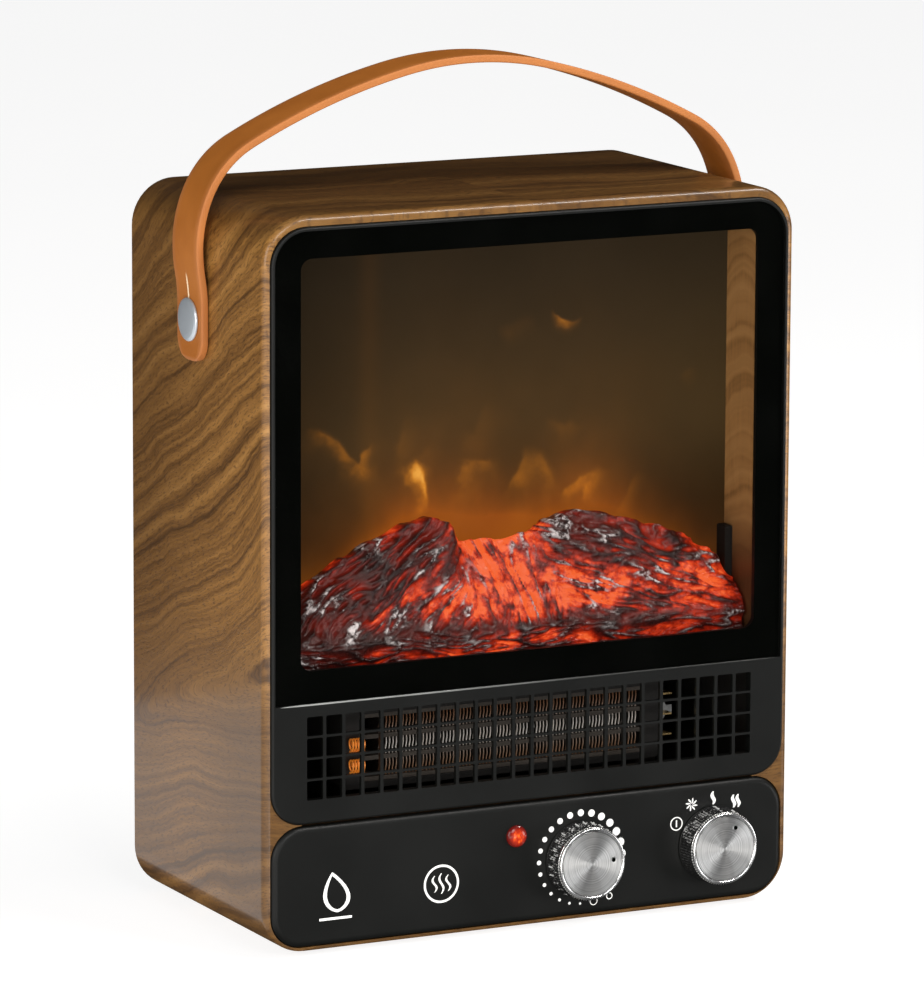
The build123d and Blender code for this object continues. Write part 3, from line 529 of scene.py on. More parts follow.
def flame_screen_finish():
    """Frosted flame screen, lit from behind: smoky brown, an amber glow low down and thin flames."""
    f = Finish("frosted_flame_screen")
    x, z = f.x, f.z
    warp_x = f.fit(f.noise(45.0, detail=3.0), 0.3, 0.7, -0.0035, 0.0035)
    leaning = f.stretched((1.0, 1.0, 0.7), turn=(0.0, 0.7, 0.0))
    warp_z = f.fit(f.noise(38.0, leaning, 3.0), 0.3, 0.7, -0.004, 0.004)
    wx, wz = x + warp_x, z + warp_z
    group = flame_wisp_group()
    flames = 0.0
    for *sizes, strength in FLAMES:
        sizes = [size * unit for size, unit in zip(sizes, FLAME_UNITS)]
        flames = f.fed("ShaderNodeGroup", wx, wz, *sizes, node_tree=group) * strength + flames
    flames *= f.fit(f.noise(90.0, detail=4.0), 0.35, 0.7, 0.45, 1.25)
    # glow that rises from the logs, over their two crests
    hump = 0.150
    for middle, spread, rise in ((-0.041, 0.048, 0.049), (0.052, 0.058, 0.047)):
        hump = x.bell(middle, spread) * rise + hump
    over_logs = (z - (hump + warp_z)).least()
    near = (over_logs * 95.0).fall() * f.ease(x, 0.125, 0.02, 0.25, 1.0)
    far = (over_logs * 28.0).fall() * f.fit(f.noise(26.0, detail=3.0), 0.3, 0.7, 0.55, 1.25)
    far *= f.ease(x, 0.120, 0.04, 0.35, 1.0)
    column = x.bell(-0.070, 0.0055) * f.fit(f.noise(14.0, detail=2.0), 0.3, 0.7, 0.4, 1.0)
    smoke = f.noise(9.0, detail=3.0)
    lift = f.ease(z, 0.345, 0.235)
    shade = f.ease(x, -0.128, -0.045, 0.45, 1.0) * f.fit(smoke, 0.3, 0.7, 0.88, 1.06)
    shade = shade * f.fit(lift, 0.0, 1.0, 0.62, 1.0) * f.ease(z, 0.185, 0.245, 0.30, 1.0)
    fire = f.ramp(
        flames * 0.62 + column * 0.045,
        (0.0, (0.0, 0.0, 0.0)),
        (0.12, (0.045, 0.015, 0.001)),
        (0.35, (0.220, 0.070, 0.003)),
        (0.65, (0.600, 0.225, 0.018)),
        (1.0, (0.950, 0.450, 0.070)),
    )
    smoky = f.mix(lift, (0.0410, 0.0282, 0.0145), (0.0550, 0.0325, 0.0115))
    light = fire
    for amount, tint in ((shade, smoky), (near, (0.24, 0.044, 0.001)), (far, (0.095, 0.032, 0.003))):
        amounts = f.vector(amount, amount, amount)
        light = f.fed("ShaderNodeVectorMath", amounts, tint, light, operation="MULTIPLY_ADD")
    f.set(Base_Color=f.mix(f.fit(smoke, 0.3, 0.7), (0.002, 0.0015, 0.001), (0.003, 0.0024, 0.0016)))
    f.set(Emission_Color=light, Emission_Strength=1.0)
    return f.set(Roughness=f.fit(smoke, 0.3, 0.7, 0.6, 0.7), Specular_IOR_Level=0.05)


def ember_finish():
    """Cast ember bed: red-hot resin glowing through, charred ridges, flecks of pale ash."""
    f = Finish("glowing_embers")
    ridge, heat, ash = (f.stored("bed_" + name) for name in ("ridge", "heat", "ash"))
    fleck = f.noise(420.0, detail=3.0, roughness=0.6)
    scale = f.noise(130.0, detail=4.0, roughness=0.65)
    soot = f.noise(60.0, detail=3.0, roughness=0.6)
    char = f.fit(ridge, 0.34, 0.84) + f.fit(soot, 0.35, 0.70, -0.20, 0.40)
    char = sum_of("SUBTRACT", char, heat * 0.62, clamp=True)
    white = ash * f.ease(fleck * 0.55 + scale * 0.45, 0.44, 0.58)
    body = f.mix(char, (0.080, 0.006, 0.003), (0.013, 0.005, 0.005))
    body = f.mix(white, body, (0.74, 0.70, 0.72))
    glow = f.fit(scale, 0.30, 0.70, 0.30, 1.36) * heat * f.fit(fleck, 0.30, 0.70, 0.72, 1.16)
    glow += f.fit(ridge, 0.0, 0.6, 0.16, 0.0)
    glow = sum_of("SUBTRACT", glow, char * 0.50, clamp=True)
    light = f.ramp(
        glow * (1.0 - white * 0.9),
        (0.0, (0.003, 0.0003, 0.0001)),
        (0.25, (0.055, 0.0018, 0.0004)),
        (0.50, (0.260, 0.0110, 0.0018)),
        (0.78, (0.720, 0.0520, 0.0090)),
        (1.0, (1.000, 0.1500, 0.0340)),
    )
    f.bump(scale * 0.7 + fleck * 0.5, 0.0010, 0.9)
    f.set(Base_Color=body, Emission_Color=light, Emission_Strength=0.95)
    return f.set(Roughness=f.fit(fleck, 0.3, 0.7, 0.24, 0.48), Specular_IOR_Level=0.38)


def pane_edge_highlight_finish():
    """Ground edge under the pane, its colour a painted highlight: bright on the left, fading towards the
    right.
    """
    f = Finish("pane_edge_painted_highlight")
    scuffs_and_highlight_breaks = f.noise(90.0, detail=3.0)
    # painted highlight: bright on the left, fading out to the right, broken by scuffs
    share = sum_of("MULTIPLY", f.ease(f.x, 0.06, -0.135), f.fit(scuffs_and_highlight_breaks, 0.3, 0.7, 0.8, 1.1), clamp=True)
    colour = f.mix(share, (0.012, 0.013, 0.012), (0.30, 0.31, 0.30))
    return f.set(Base_Color=colour, Roughness=f.fit(scuffs_and_highlight_breaks, 0.3, 0.7, 0.3, 0.45), Specular_IOR_Level=0.4)


def lens_finish():
    """Red indicator lens, lit, with the facets moulded inside it showing."""
    f = Finish("lit_red_lens")
    middle_x, middle_z = -0.0083, 0.0475
    dx, dz = f.x - middle_x, f.z - middle_z
    reach = f.ease(sum_of("SQRT", dx * dx + dz * dz), 0.0050, 0.0018)
    facet = f.cells(900.0, f.stretched((1.0, 1.0, 0.55)))
    light = f.ramp(
        reach * f.fit(facet, 0.0, 0.8, 1.25, 0.35),
        (0.0, (0.045, 0.002, 0.001)),
        (0.35, (0.30, 0.012, 0.002)),
        (0.75, (0.68, 0.070, 0.006)),
        (1.0, (0.86, 0.200, 0.030)),
    )
    f.set(Base_Color=f.mix(reach, (0.08, 0.003, 0.002), (0.20, 0.014, 0.004)))
    f.set(Emission_Color=light, Emission_Strength=1.0, Roughness=f.fit(facet, 0.0, 0.8, 0.10, 0.2))
    return f.set(Coat_Weight=0.12, Coat_Roughness=0.15, Specular_IOR_Level=0.25)


def print_finish():
    """White pad-printed ink, slightly uneven."""
    f = Finish("white_print")
    uneven = f.noise(900.0, detail=3.0)
    colour = f.mix(f.fit(uneven, 0.35, 0.7), (0.80, 0.80, 0.78), (0.92, 0.92, 0.90))
    return f.set(Base_Color=colour, Roughness=f.fit(uneven, 0.3, 0.7, 0.5, 0.62))


def chrome_finish():
    """Bright chrome of the dial skirts, dark in the knurl's grooves as painted shade and bright on its crests
    as a painted highlight.
    """
    f = Finish("chrome_knurl")
    # painted highlight on the knurl's crests and painted shade in its grooves, read from the crest number
    colour = f.mix(f.stored("crest"), (0.14, 0.14, 0.145), (0.88, 0.88, 0.88))
    haze = f.noise(700.0, detail=3.0)
    return f.set(Base_Color=colour, Metallic=1.0, Roughness=f.fit(haze, 0.3, 0.7, 0.10, 0.22))


def spun_finish():
    """Bright aluminium, spun so that fine rings run round it and the light fans out from its middle."""
    f = Finish("spun_aluminium_face")
    haze = f.noise(500.0, detail=2.0)
    lines = f.along(f.stored("spun_radius"), 1700.0, detail=2.0)
    colour = f.mix(f.fit(lines, 0.35, 0.65), (0.54, 0.54, 0.535), (0.77, 0.77, 0.765))
    way = f.fed("ShaderNodeTangent", direction_type="UV_MAP", uv_map="spin")
    f.set(Base_Color=colour, Metallic=1.0, Roughness=f.fit(haze, 0.3, 0.7, 0.34, 0.40))
    return f.set(Anisotropic=0.82, Anisotropic_Rotation=0.25, Tangent=way)


def fin_finish():
    """Foil fins: bright rolled aluminium with brownish dust, a painted orange glow at the element's left end,
    and painted shade deep between the leaves.
    """
    f = Finish("fin_foil_metal")
    dust = f.noise(160.0, detail=4.0)
    colour = f.mix(f.fit(dust, 0.4, 0.75, 0.0, 0.4), (0.82, 0.78, 0.72), (0.40, 0.26, 0.15))
    # painted glow: the element's left end is coloured orange for ember light caught there
    colour = f.mix(f.ease(f.x, -0.074, -0.090), colour, (0.95, 0.36, 0.06))
    # the middle row faces straight out; those above and below lie in the grille's shade
    lowest = f.ease(f.z, 0.0895, 0.0870)
    shaded = f.mix(lowest, (0.210, 0.090, 0.036), (0.260, 0.130, 0.060))
    colour = f.mix(f.z.bell(0.0945, 0.0068), shaded, colour)
    # painted shade: the leaves are dark except along their front edges, where light gets in between them
    colour = f.mix(f.ease(f.y, -0.0518, -0.0527), (0.012, 0.009, 0.007), colour)
    return f.set(Base_Color=colour, Metallic=0.55, Roughness=f.fit(dust, 0.3, 0.7, 0.28, 0.42))


FINISHES = {
    "walnut_shell": walnut_finish(),
    "black_moulding": moulding_finish("black_moulding_plastic", (0.0039, 0.0042, 0.0037), 0.42, shine=0.22),
    "smoked_pane": glass_finish(),
    "chrome_skirt": chrome_finish(),
    "spun_aluminium": spun_finish(),
    "zinc_steel": metal_finish("zinc_plated_steel", (0.62, 0.62, 0.60), 0.34, wear=0.5),
    "satin_nickel": metal_finish(
        "satin_nickel_metal", (0.56, 0.61, 0.66), 0.30, scale=30.0, wear=0.2, dark=0.8, metallic=0.55
    ),
    "tan_leather": leather_finish(),
    "chamber_print": oak_print_finish(),
    "black_sheet": moulding_finish("black_painted_sheet", (0.016, 0.016, 0.016), 0.5),
    "flame_diffuser": flame_screen_finish(),
    "ember_resin": ember_finish(),
    "red_lens": lens_finish(),
    "lamp_glass": moulding_finish("neon_lamp_glass", (0.80, 0.36, 0.22), 0.12, 0.00001),
    "circuit_board": moulding_finish("circuit_board_green", (0.020, 0.110, 0.045), 0.35, 0.00005),
    "mirror_blades": metal_finish(
        "mirror_blade_sheet", (0.80, 0.80, 0.80), 0.10, (1.0, 8.0, 8.0), 120.0, 0.15
    ),
    "motor_case": metal_finish("motor_case_steel", (0.42, 0.42, 0.43), 0.42, (1.0, 1.0, 1.0), 200.0, 0.6),
    "heater_resin": moulding_finish("heater_frame_resin", (0.009, 0.008, 0.007), 0.6, shine=0.2),
    "ptc_bar": metal_finish(
        "ptc_bar_aluminium", (0.055, 0.045, 0.036), 0.40, (0.1, 1.0, 1.0), 500.0, 0.5, 0.5, 0.4
    ),
    "fin_foil": fin_finish(),
    "brass_tab": metal_finish("brass_tab_metal", (0.80, 0.56, 0.24), 0.25, (1.0, 1.0, 1.0), 300.0, 0.4),
    "switch_body": moulding_finish("switch_body_plastic", (0.34, 0.33, 0.30), 0.45),
    "oilite": metal_finish("oilite_bronze", (0.46, 0.30, 0.16), 0.45, (1.0, 1.0, 1.0), 600.0, 0.5),
    "feet_rubber": moulding_finish("feet_rubber_black", (0.018, 0.018, 0.018), 0.72, 0.00008),
    "terminal_resin": moulding_finish("terminal_resin_white", (0.62, 0.60, 0.55), 0.42),
}
PANE_PRINT = pane_print_finish()
WHITE_PRINT = print_finish()

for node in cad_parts.values():
    for place in node.material_slots:
        place.material = FINISHES[place.material.name.split(".")[0]]

# ------------------------------------------------------------------ window pane

PANE_LOW, PANE_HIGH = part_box("window_pane")
WINDOW = (-120.6, 137.1, 120.6, 331.2)
WINDOW_ROUND = 5.5


def rounded_rectangle(left, low, right, high, radius, steps=10, low_radius=None):
    """Points round a rectangle with rounded corners, anticlockwise from its lower right corner."""
    low_radius = radius if low_radius is None else low_radius
    corners = (
        (right, low, -90, low_radius),
        (right, high, 0, radius),
        (left, high, 90, radius),
        (left, low, 180, low_radius),
    )
    points = []
    for x, z, start, r in corners:
        middle_x = x - r if x == right else x + r
        middle_z = z - r if z == high else z + r
        for step in range(steps + 1):
            angle = radians(start + 90 * step / steps)
            points.append((middle_x + r * cos(angle), middle_z + r * sin(angle)))
    return points


PANE_ROUND, PANE_LOW_ROUND = 16, 1.2
PANE_BACK, PANE_EDGE, PANE_FRONT = -68.15, -69.45, -69.8
PRINT_SKIN = (-68.1, -68.02)


def pane_outline(inset, y):
    left, right = PANE_LOW[0] / MM + inset, PANE_HIGH[0] / MM - inset
    low, high = PANE_LOW[2] / MM + inset, PANE_HIGH[2] / MM - inset
    rounds = PANE_ROUND - inset, 12, PANE_LOW_ROUND - inset / 2
    return [(x, y, z) for x, z in rounded_rectangle(left, low, right, high, *rounds)]


def make_pane():
    """The pane with its ground edge, and the black enamel border printed on its back."""
    glass = loops_between(
        "pane_glass",
        [pane_outline(0.0, PANE_BACK), pane_outline(0.0, PANE_EDGE), pane_outline(0.35, PANE_FRONT)],
        FINISHES["smoked_pane"],
        closed_front=True,
        closed_back=True,
    )
    settle(face_out(glass), "heater", "smoked_pane", "window_pane")
    skin, skin_back = PRINT_SKIN
    outer = pane_outline(0.05, skin)
    inner = [(x, skin, z) for x, z in rounded_rectangle(*WINDOW, WINDOW_ROUND, 12)]
    back, inner_back = ([(x, skin_back, z) for x, _, z in ring] for ring in (outer, inner))
    rings = [back, outer, inner, inner_back, back]
    border = loops_between("pane_enamel_border", rings, PANE_PRINT)
    settle(face_out(border), "heater", "smoked_pane", "window_pane")


def bead(name, x0, x1, y, z, radius, material):
    """A slim half-round moulding line along X with rounded ends."""
    rings = []
    steps = 40
    for i in range(steps + 1):
        x = x0 + (x1 - x0) * i / steps
        taper = sqrt(min(1.0, max(0.02, min(i, steps - i) / 2)))
        ring_points = []
        for k in range(12):
            angle = 2 * pi * k / 12
            ring_points.append((x, y + radius * taper * cos(angle), z + radius * taper * sin(angle)))
        rings.append(ring_points)
    return face_out(loops_between(name, rings, material, closed_front=True, closed_back=True))


# ------------------------------------------------------------------ carrying strap

STRAP_WIDTH = 28.0
STRAP_THICKNESS = 3.7
STRAP_Y = 5.0
STRAP_CROWN = 413.5
STRAP_END = 275.0
STRAP_END_ROUND = 11.0
RIVET_Z = 294.5
SLIT_TOP = 315.5
# Bends from the crown down to the rivet: radius in mm and turn in degrees, the last one back out.
STRAP_BENDS = ((164.0, -13.2), (335.0, -14.7), (48.0, -37.1), (62.0, -25.0), (80.0, -9.9), (81.8, 9.9))


def strap_line():
    """Right half of the strap's centre line: (x, z, heading) from the crown to the strap's end."""
    x, z, heading = 0.0, STRAP_CROWN - STRAP_THICKNESS / 2, 0.0
    line = [(x, z, heading)]
    for radius, turn in STRAP_BENDS:
        steps = max(4, int(abs(radians(turn)) * radius / 2.2))
        way = 1 if turn > 0 else -1
        middle_x = x - way * radius * sin(heading)
        middle_z = z + way * radius * cos(heading)
        for step in range(1, steps + 1):
            h = heading + radians(turn) * step / steps
            line.append((middle_x + way * radius * sin(h), middle_z - way * radius * cos(h), h))
        x, z, heading = line[-1]
    steps = 110
    for step in range(1, steps + 1):
        line.append((x, z + (STRAP_END - z) * step / steps, heading))
    return line


def strap_section():
    """Across the strap: (across in mm, out in mm, edge share), all round, with rounded edges."""
    half = STRAP_WIDTH / 2
    thick = STRAP_THICKNESS / 2
    roll = 0.7
    flat = half - roll
    face = (-flat, -9.5, -6.0, -2.4, -1.1, -0.75, -0.45, 0.0, 0.45, 0.75, 1.1, 2.4, 6.0, 9.5, flat)
    section = [(u, thick, 1.0 if abs(u) == flat else 0.0) for u in face]
    corner = ((0.35, 0.10), (0.58, 0.36), (roll, 0.75))
    bow = [(across, thick - drop) for across, drop in corner] + [(roll, 0.0)]
    bow += [(across, drop - thick) for across, drop in corner[::-1]]
    section += [(flat + across, out, 1.0) for across, out in bow]
    section += [(u, -thick, 1.0 if abs(u) == flat else 0.0) for u in (flat, 6.0, 0.0, -6.0, -flat)]
    section += [(-flat - across, -out, 1.0) for across, out in bow]
    return section


def make_strap():
    """Leather carrying strap: flat band with burnished edges, rounded ends and a stud slit."""
    right = strap_line()
    left = [(-x, z, -h) for x, z, h in right[:0:-1]]
    line = left + right
    section = strap_section()
    half = STRAP_WIDTH / 2
    points, edges, slits = [], [], []
    for x, z, heading in line:
        normal = (-sin(heading), cos(heading))  # away from the heater
        rise = z - STRAP_END
        to_end = max(STRAP_END_ROUND - rise, 0.0)
        reach = half - STRAP_END_ROUND + sqrt(max(STRAP_END_ROUND**2 - to_end**2, 0.0))
        pinch = smoothstep(-0.2, 2.2, rise) * 0.35 + 0.65
        in_slit = smoothstep(SLIT_TOP + 0.4, SLIT_TOP - 0.8, z) * smoothstep(RIVET_Z - 1, RIVET_Z, z)
        for across, out, edge in section:
            u = across * reach / half if abs(across) > 1.2 else across
            lift = out * pinch
            opened = in_slit if (out > 1.5 and abs(across) < 0.5) else 0.0
            if opened and across == 0.0:
                lift -= 1.3 * in_slit
            elif out > 1.5 and abs(across) < 1.2:
                u = across * (1 + 0.25 * in_slit)
                lift += 0.10 * in_slit
            points.append((x + normal[0] * lift, STRAP_Y + u, z + normal[1] * lift))
            edges.append(max(edge, smoothstep(2.4, 0.0, rise)))
            slits.append(opened)
    count = len(section)
    faces = grid_faces(len(line), count, wrap=True)
    faces.append(tuple(range(count))[::-1])
    faces.append(tuple(range(len(points) - count, len(points))))
    strap = piece("strap_leather", points, faces, FINISHES["tan_leather"])
    mark(strap, "edge", edges)
    mark(strap, "slit", slits)
    face_out(strap, crisp=180)
    return settle(strap, "handle", "tan_leather", "handle_strap")


# ------------------------------------------------------------------ dials

THERMOSTAT_X = 26.3
SELECTOR_X = 98.4
DIAL_Z = 32.8
DIAL_FACE = -83.0
DIAL_BACK = -70.6
KNURLS = 84


def dial_skirt(name, x, body, node):
    """Knurled skirt: fine upright flutes crossed by shallow spiral ones, a rolled front rim."""
    around = KNURLS * 4
    profile = [
        (0.0, -80.9, 0), (3.05, -80.9, 0), (3.05, -77.0, 0), (14.5, -77.0, 0), (16.1, -70.7, 0),
        (18.3, -70.6, 0), (18.75, -70.8, 0),
    ]
    rows = 16
    for k in range(rows + 1):
        t = k / rows
        profile.append((18.75 - 1.05 * t, -71.1 - 9.9 * t, smoothstep(0, 0.08, t) * smoothstep(1.0, 0.94, t)))
    profile += [
        (17.45, -81.2, 0), (17.35, -81.5, 0), (17.55, -81.8, 0), (17.60, -82.2, 0), (17.50, -82.6, 0),
        (17.20, -82.88, 0), (16.80, -83.0, 0), (16.35, -82.9, 0), (16.0, -82.6, 0), (15.8, -82.2, 0),
        (15.8, -82.0, 0), (0.0, -82.0, 0),
    ]
    points, knurl_glints_and_shade = [], []
    for radius, y, tooth in profile:
        for k in range(around):
            turn = 2 * pi * k / around
            flute = abs((k % 4) / 2 - 1)
            phase = (turn * 20 / (2 * pi) + (y + 83) / 3.4) % 1.0
            back = (turn * 20 / (2 * pi) - (y + 83) / 3.4) % 1.0
            diamond = abs(2 * phase - 1) * abs(2 * back - 1)
            r = radius + tooth * (0.34 * flute - 0.17 + 0.22 * diamond)
            points.append((x + r * sin(turn), y, DIAL_Z + r * cos(turn)))
            # painted light: the crest number brightens the knurl's crests as a highlight and darkens its
            # grooves as shade
            knurl_glints_and_shade.append(0.9 if not tooth else min(1.0, 0.05 + 0.75 * flute * diamond**0.5 + 0.25 * flute))
    faces = grid_faces(len(profile), around, wrap=True)
    skirt = piece(name, points, faces, FINISHES["chrome_skirt"])
    mark(skirt, "crest", knurl_glints_and_shade)
    face_out(skirt)
    return settle(skirt, body, "chrome_skirt", node)


def spin_map(thing, x):
    """UV map that runs round the dial's axis, so that its finish knows the way it was spun."""
    layer = thing.data.uv_layers.new(name="spin")
    for face in thing.data.polygons:
        turns = []
        for loop in face.loop_indices:
            place = thing.data.vertices[thing.data.loops[loop].vertex_index].co
            dx, dz = place.x - x * MM, place.z - DIAL_Z * MM
            turns.append((atan2(dx, dz) / (2 * pi) % 1.0, hypot(dx, dz)))
        real = [u for u, r in turns if r > 0.00005]
        wraps = max(real) - min(real) > 0.5
        middle = sum(u + (1.0 if wraps and u < 0.5 else 0.0) for u in real) / len(real)
        for loop, (u, r) in zip(face.loop_indices, turns):
            u = middle if r <= 0.00005 else u + (1.0 if wraps and u < 0.5 else 0.0)
            layer.data[loop].uv = (u, r * 60.0)


def dial_face(name, x, body, node, pointer_clock):
    """Spun face disc: fine concentric grooves, a turned edge and a small pointer dimple."""
    around = 160
    grooves = 19
    outer = 15.6
    rings = []
    steps = grooves * 6
    for k in range(steps + 1):
        r = outer * k / steps
        wave = cos(2 * pi * grooves * k / steps)
        fade = smoothstep(0.0, 0.8, r) * smoothstep(outer, outer - 0.5, r)
        rings.append((r, -82.62 - 0.011 * wave * fade, r))
    rings += [(15.7, -82.5, 15.7), (15.7, -82.05, 15.7)]
    clock = radians(pointer_clock)
    pointer = (11.4 * sin(clock), 11.4 * cos(clock))
    points, turns = [], []
    for r, y, turned in rings:
        for k in range(around):
            angle = 2 * pi * k / around
            px, pz = r * sin(angle), r * cos(angle)
            away = hypot(px - pointer[0], pz - pointer[1])
            dip = 0.55 * smoothstep(1.25, 0.55, away) if r < 15.6 else 0.0
            points.append((x + px, y + dip, DIAL_Z + pz))
            turns.append(turned * MM)
    faces = grid_faces(len(rings), around, wrap=True)
    face = piece(name, points, faces, FINISHES["spun_aluminium"])
    mark(face, "spun_radius", turns)
    face_out(face)
    spin_map(face, x)
    return settle(face, body, "spun_aluminium", node)


def pointer_inlay(name, x, body, pointer_clock):
    """Black enamel drop in the pointer dimple."""
    clock = radians(pointer_clock)
    middle_x = x + 11.4 * sin(clock)
    middle_z = DIAL_Z + 11.4 * cos(clock)
    points, around = [], 20
    for radius, y in ((0.95, -82.2), (1.0, -82.66), (0.8, -82.74), (0.45, -82.72), (0.1, -82.7)):
        turns = [2 * pi * k / around for k in range(around)]
        points += [(middle_x + radius * sin(a), y, middle_z + radius * cos(a)) for a in turns]
    faces = grid_faces(5, around, wrap=True)
    faces += [tuple(range(around))[::-1], tuple(range(4 * around, 5 * around))]
    inlay = piece(name, points, faces, PANE_PRINT)
    face_out(inlay)
    return settle(inlay, body, "black_moulding")


def rim_beads(name, x, body):
    """A row of small beads round the front of the skirt."""
    r = Recipe(name + "_beads", ring_radius=0.0176, bead_radius=0.00042, bead_count=KNURLS)
    g = r.given
    ring_line = r.add("GeometryNodeMeshCircle", {"Vertices": g["bead_count"], "Radius": g["ring_radius"]})
    place = (x * MM, -0.08125, DIAL_Z * MM)
    upright = r.add(
        "GeometryNodeTransform", {"Geometry": ring_line, "Rotation": (pi / 2, 0, 0), "Translation": place}
    )
    ball = r.add("GeometryNodeMeshIcoSphere", {"Radius": g["bead_radius"], "Subdivisions": 2})
    smooth = r.add("GeometryNodeSetShadeSmooth", {"Geometry": ball})
    made = r.make(name, r.copies(upright, smooth), FINISHES["zinc_steel"])
    return settle(made, body, "chrome_skirt")


# ------------------------------------------------------------------ printed marks

PRINT_FRONT = -70.05
PRINT_BACK = -69.97
SCALE_Z = 33.1


def printed(name, outlines):
    """Flat ink shapes on the panel, each an outline of (x, z) points, or an outer and an inner one."""
    points, faces = [], []
    for outline in outlines:
        rims = outline if isinstance(outline[0][0], tuple) else (outline,)
        count = len(rims[0])
        start = len(points)
        for rim in rims:
            for y in (PRINT_FRONT, PRINT_BACK):
                points += [(x, y, z) for x, z in rim]
        if len(rims) == 1:
            faces.append(tuple(start + k for k in range(count)))
            faces.append(tuple(start + count + k for k in range(count))[::-1])
            loops = ((start, start + count),)
        else:
            o, ob, i, ib = (start + k * count for k in range(4))
            loops = ((o, ob), (ib, i))
            for k in range(count):
                n = (k + 1) % count
                faces.append((o + k, o + n, i + n, i + k))
                faces.append((ob + n, ob + k, ib + k, ib + n))
        for front, back in loops:
            for k in range(count):
                n = (k + 1) % count
                faces.append((front + n, front + k, back + k, back + n))
    made = piece(name, points, faces, WHITE_PRINT, smooth=False)
    face_out(made)
    return settle(made, "heater", "terminal_resin")


def circle(x, z, radius, count=40):
    turns = [2 * pi * k / count for k in range(count)]
    return [(x + radius * cos(a), z + radius * sin(a)) for a in turns]


def hoop(x, z, radius, line, count=40):
    return (circle(x, z, radius, count), circle(x, z, radius - line, count))


def strip(left, low, right, high):
    return [(left, low), (right, low), (right, high), (left, high)]


def wave_stroke(x, z, height, sway, line, count=16):
    """An S-shaped heat wave, thick in the middle, that ends in points."""
    left, right = [], []
    for k in range(count + 1):
        t = k / count
        middle = x + sway * sin(2 * pi * t)
        width = line * (0.35 + 0.65 * sin(pi * t))
        left.append((middle - width / 2, z + height * (t - 0.5)))
        right.append((middle + width / 2, z + height * (t - 0.5)))
    return left + right[::-1]


def fan_blades(x, z, radius, blades=8):
    """Short curved blades round a middle."""
    shapes = []
    steps = [k / 6 for k in range(7)]
    for b in range(blades):
        start = 2 * pi * b / blades
        edge = [(0.86, t, start + 0.55 * t) for t in steps]
        for t in steps[::-1]:
            edge.append((0.82, t, start + 0.55 * t + 0.36 * sin(pi * min(t * 0.8 + 0.2, 1.0)) + 0.08))
        reaches = [(radius * (0.14 + share * t), angle) for share, t, angle in edge]
        shapes.append([(x + reach * cos(angle), z + reach * sin(angle)) for reach, angle in reaches])
    return shapes


def flame_mark(x, z, height):
    """A plain flame drop: an outline that bulges low and ends in a swept tip."""
    outer, inner = [], []
    count = 44
    for k in range(count):
        a = 2 * pi * k / count
        t = (1 - cos(a)) / 2  # 0 at the foot, 1 at the tip
        width = 0.36 * height * sin(pi * t**0.72) ** 0.85
        side = 1 if sin(a) >= 0 else -1
        sweep = 0.14 * height * t * t
        outer.append((x + side * width - sweep + 0.05 * height, z + height * (t - 0.5)))
        inner.append((x + side * width * 0.72 - sweep + 0.05 * height, z + height * (t * 0.84 - 0.43)))
    return (outer, inner)


def make_marks():
    """Printed scale, selector signs and plain heat signs."""
    r = Recipe(
        "thermostat_scale",
        ring_radius=0.0223,
        dot_count=19,
        first_angle=radians(180),
        angle_step=radians(15),
        smallest_dot=0.00060,
        growth=0.00009,
    )
    radius, count, first, step, least, growth = r.given.values()
    spots = r.add("GeometryNodePoints", {"Count": count})
    index = r.add("GeometryNodeInputIndex")
    angle = first + index * step
    across = radius * sum_of("SINE", angle) + THERMOSTAT_X * MM
    up = radius * sum_of("COSINE", angle) + SCALE_Z * MM
    place = r.vector(across, (PRINT_FRONT + PRINT_BACK) / 2 * MM, up)
    placed = r.add("GeometryNodeSetPosition", {"Geometry": spots, "Position": place})
    dot = r.add("GeometryNodeMeshCylinder", {"Vertices": 28, "Radius": 1.0, "Depth": 0.00008})
    size = least + index * growth
    dots = r.copies(placed, dot, Rotation=(pi / 2, 0, 0), Scale=r.vector(size, size, 1.0))
    settle(r.make("thermostat_scale_dots", dots, WHITE_PRINT), "heater", "terminal_resin")

    printed("thermostat_low_marks", [hoop(33.6, 11.3, 2.1, 0.42), hoop(42.1, 12.9, 1.7, 0.42)])
    printed("selector_off_sign", [hoop(78.4, 44.6, 3.4, 0.55), strip(78.05, 42.9, 78.75, 46.3)])
    printed("selector_fan_sign", fan_blades(86.6, 53.3, 3.3))
    printed("selector_low_heat_sign", [wave_stroke(98.4, 55.4, 6.4, 0.62, 2.1)])
    printed(
        "selector_high_heat_sign",
        [wave_stroke(109.7, 52.7, 6.4, 0.62, 2.0), wave_stroke(112.2, 52.7, 6.4, 0.62, 2.0)],
    )
    waves = [wave_stroke(-48.0 + dx, 28.6, h, 1.1, 1.25) for dx, h in ((-3.6, 8.0), (0.0, 10.0), (3.6, 8.0))]
    printed("heat_sign", [hoop(-48.0, 28.5, 9.3, 1.1, 56), *waves])
    printed("flame_sign", [flame_mark(-103.5, 30.4, 19.5), strip(-112.0, 17.2, -95.0, 18.4)])


# ------------------------------------------------------------------ ember bed

EMBER_CREST = (
    (-119.5, 163), (-104, 175), (-88, 184), (-72, 191), (-56, 198), (-42, 200.5), (-33, 197), (-25, 187),
    (-14, 187), (-2, 186), (10, 188.5), (20, 194), (32, 197.5), (46, 196), (60, 192), (76, 187.5), (92, 182),
    (106, 174), (119.5, 159),
)
EMBER_FLOOR = 132.4


def crest_height(x):
    """Height of the ember bed's skyline at x."""
    for (x0, z0), (x1, z1) in zip(EMBER_CREST, EMBER_CREST[1:]):
        if x <= x1:
            t = (x - x0) / (x1 - x0)
            return z0 + (z1 - z0) * t * t * (3 - 2 * t)
    return EMBER_CREST[-1][1]


def turned(x, z, degrees):
    """(along, across) of a point for grain that runs at that angle."""
    a = radians(degrees)
    return x * cos(a) + z * sin(a), z * cos(a) - x * sin(a)


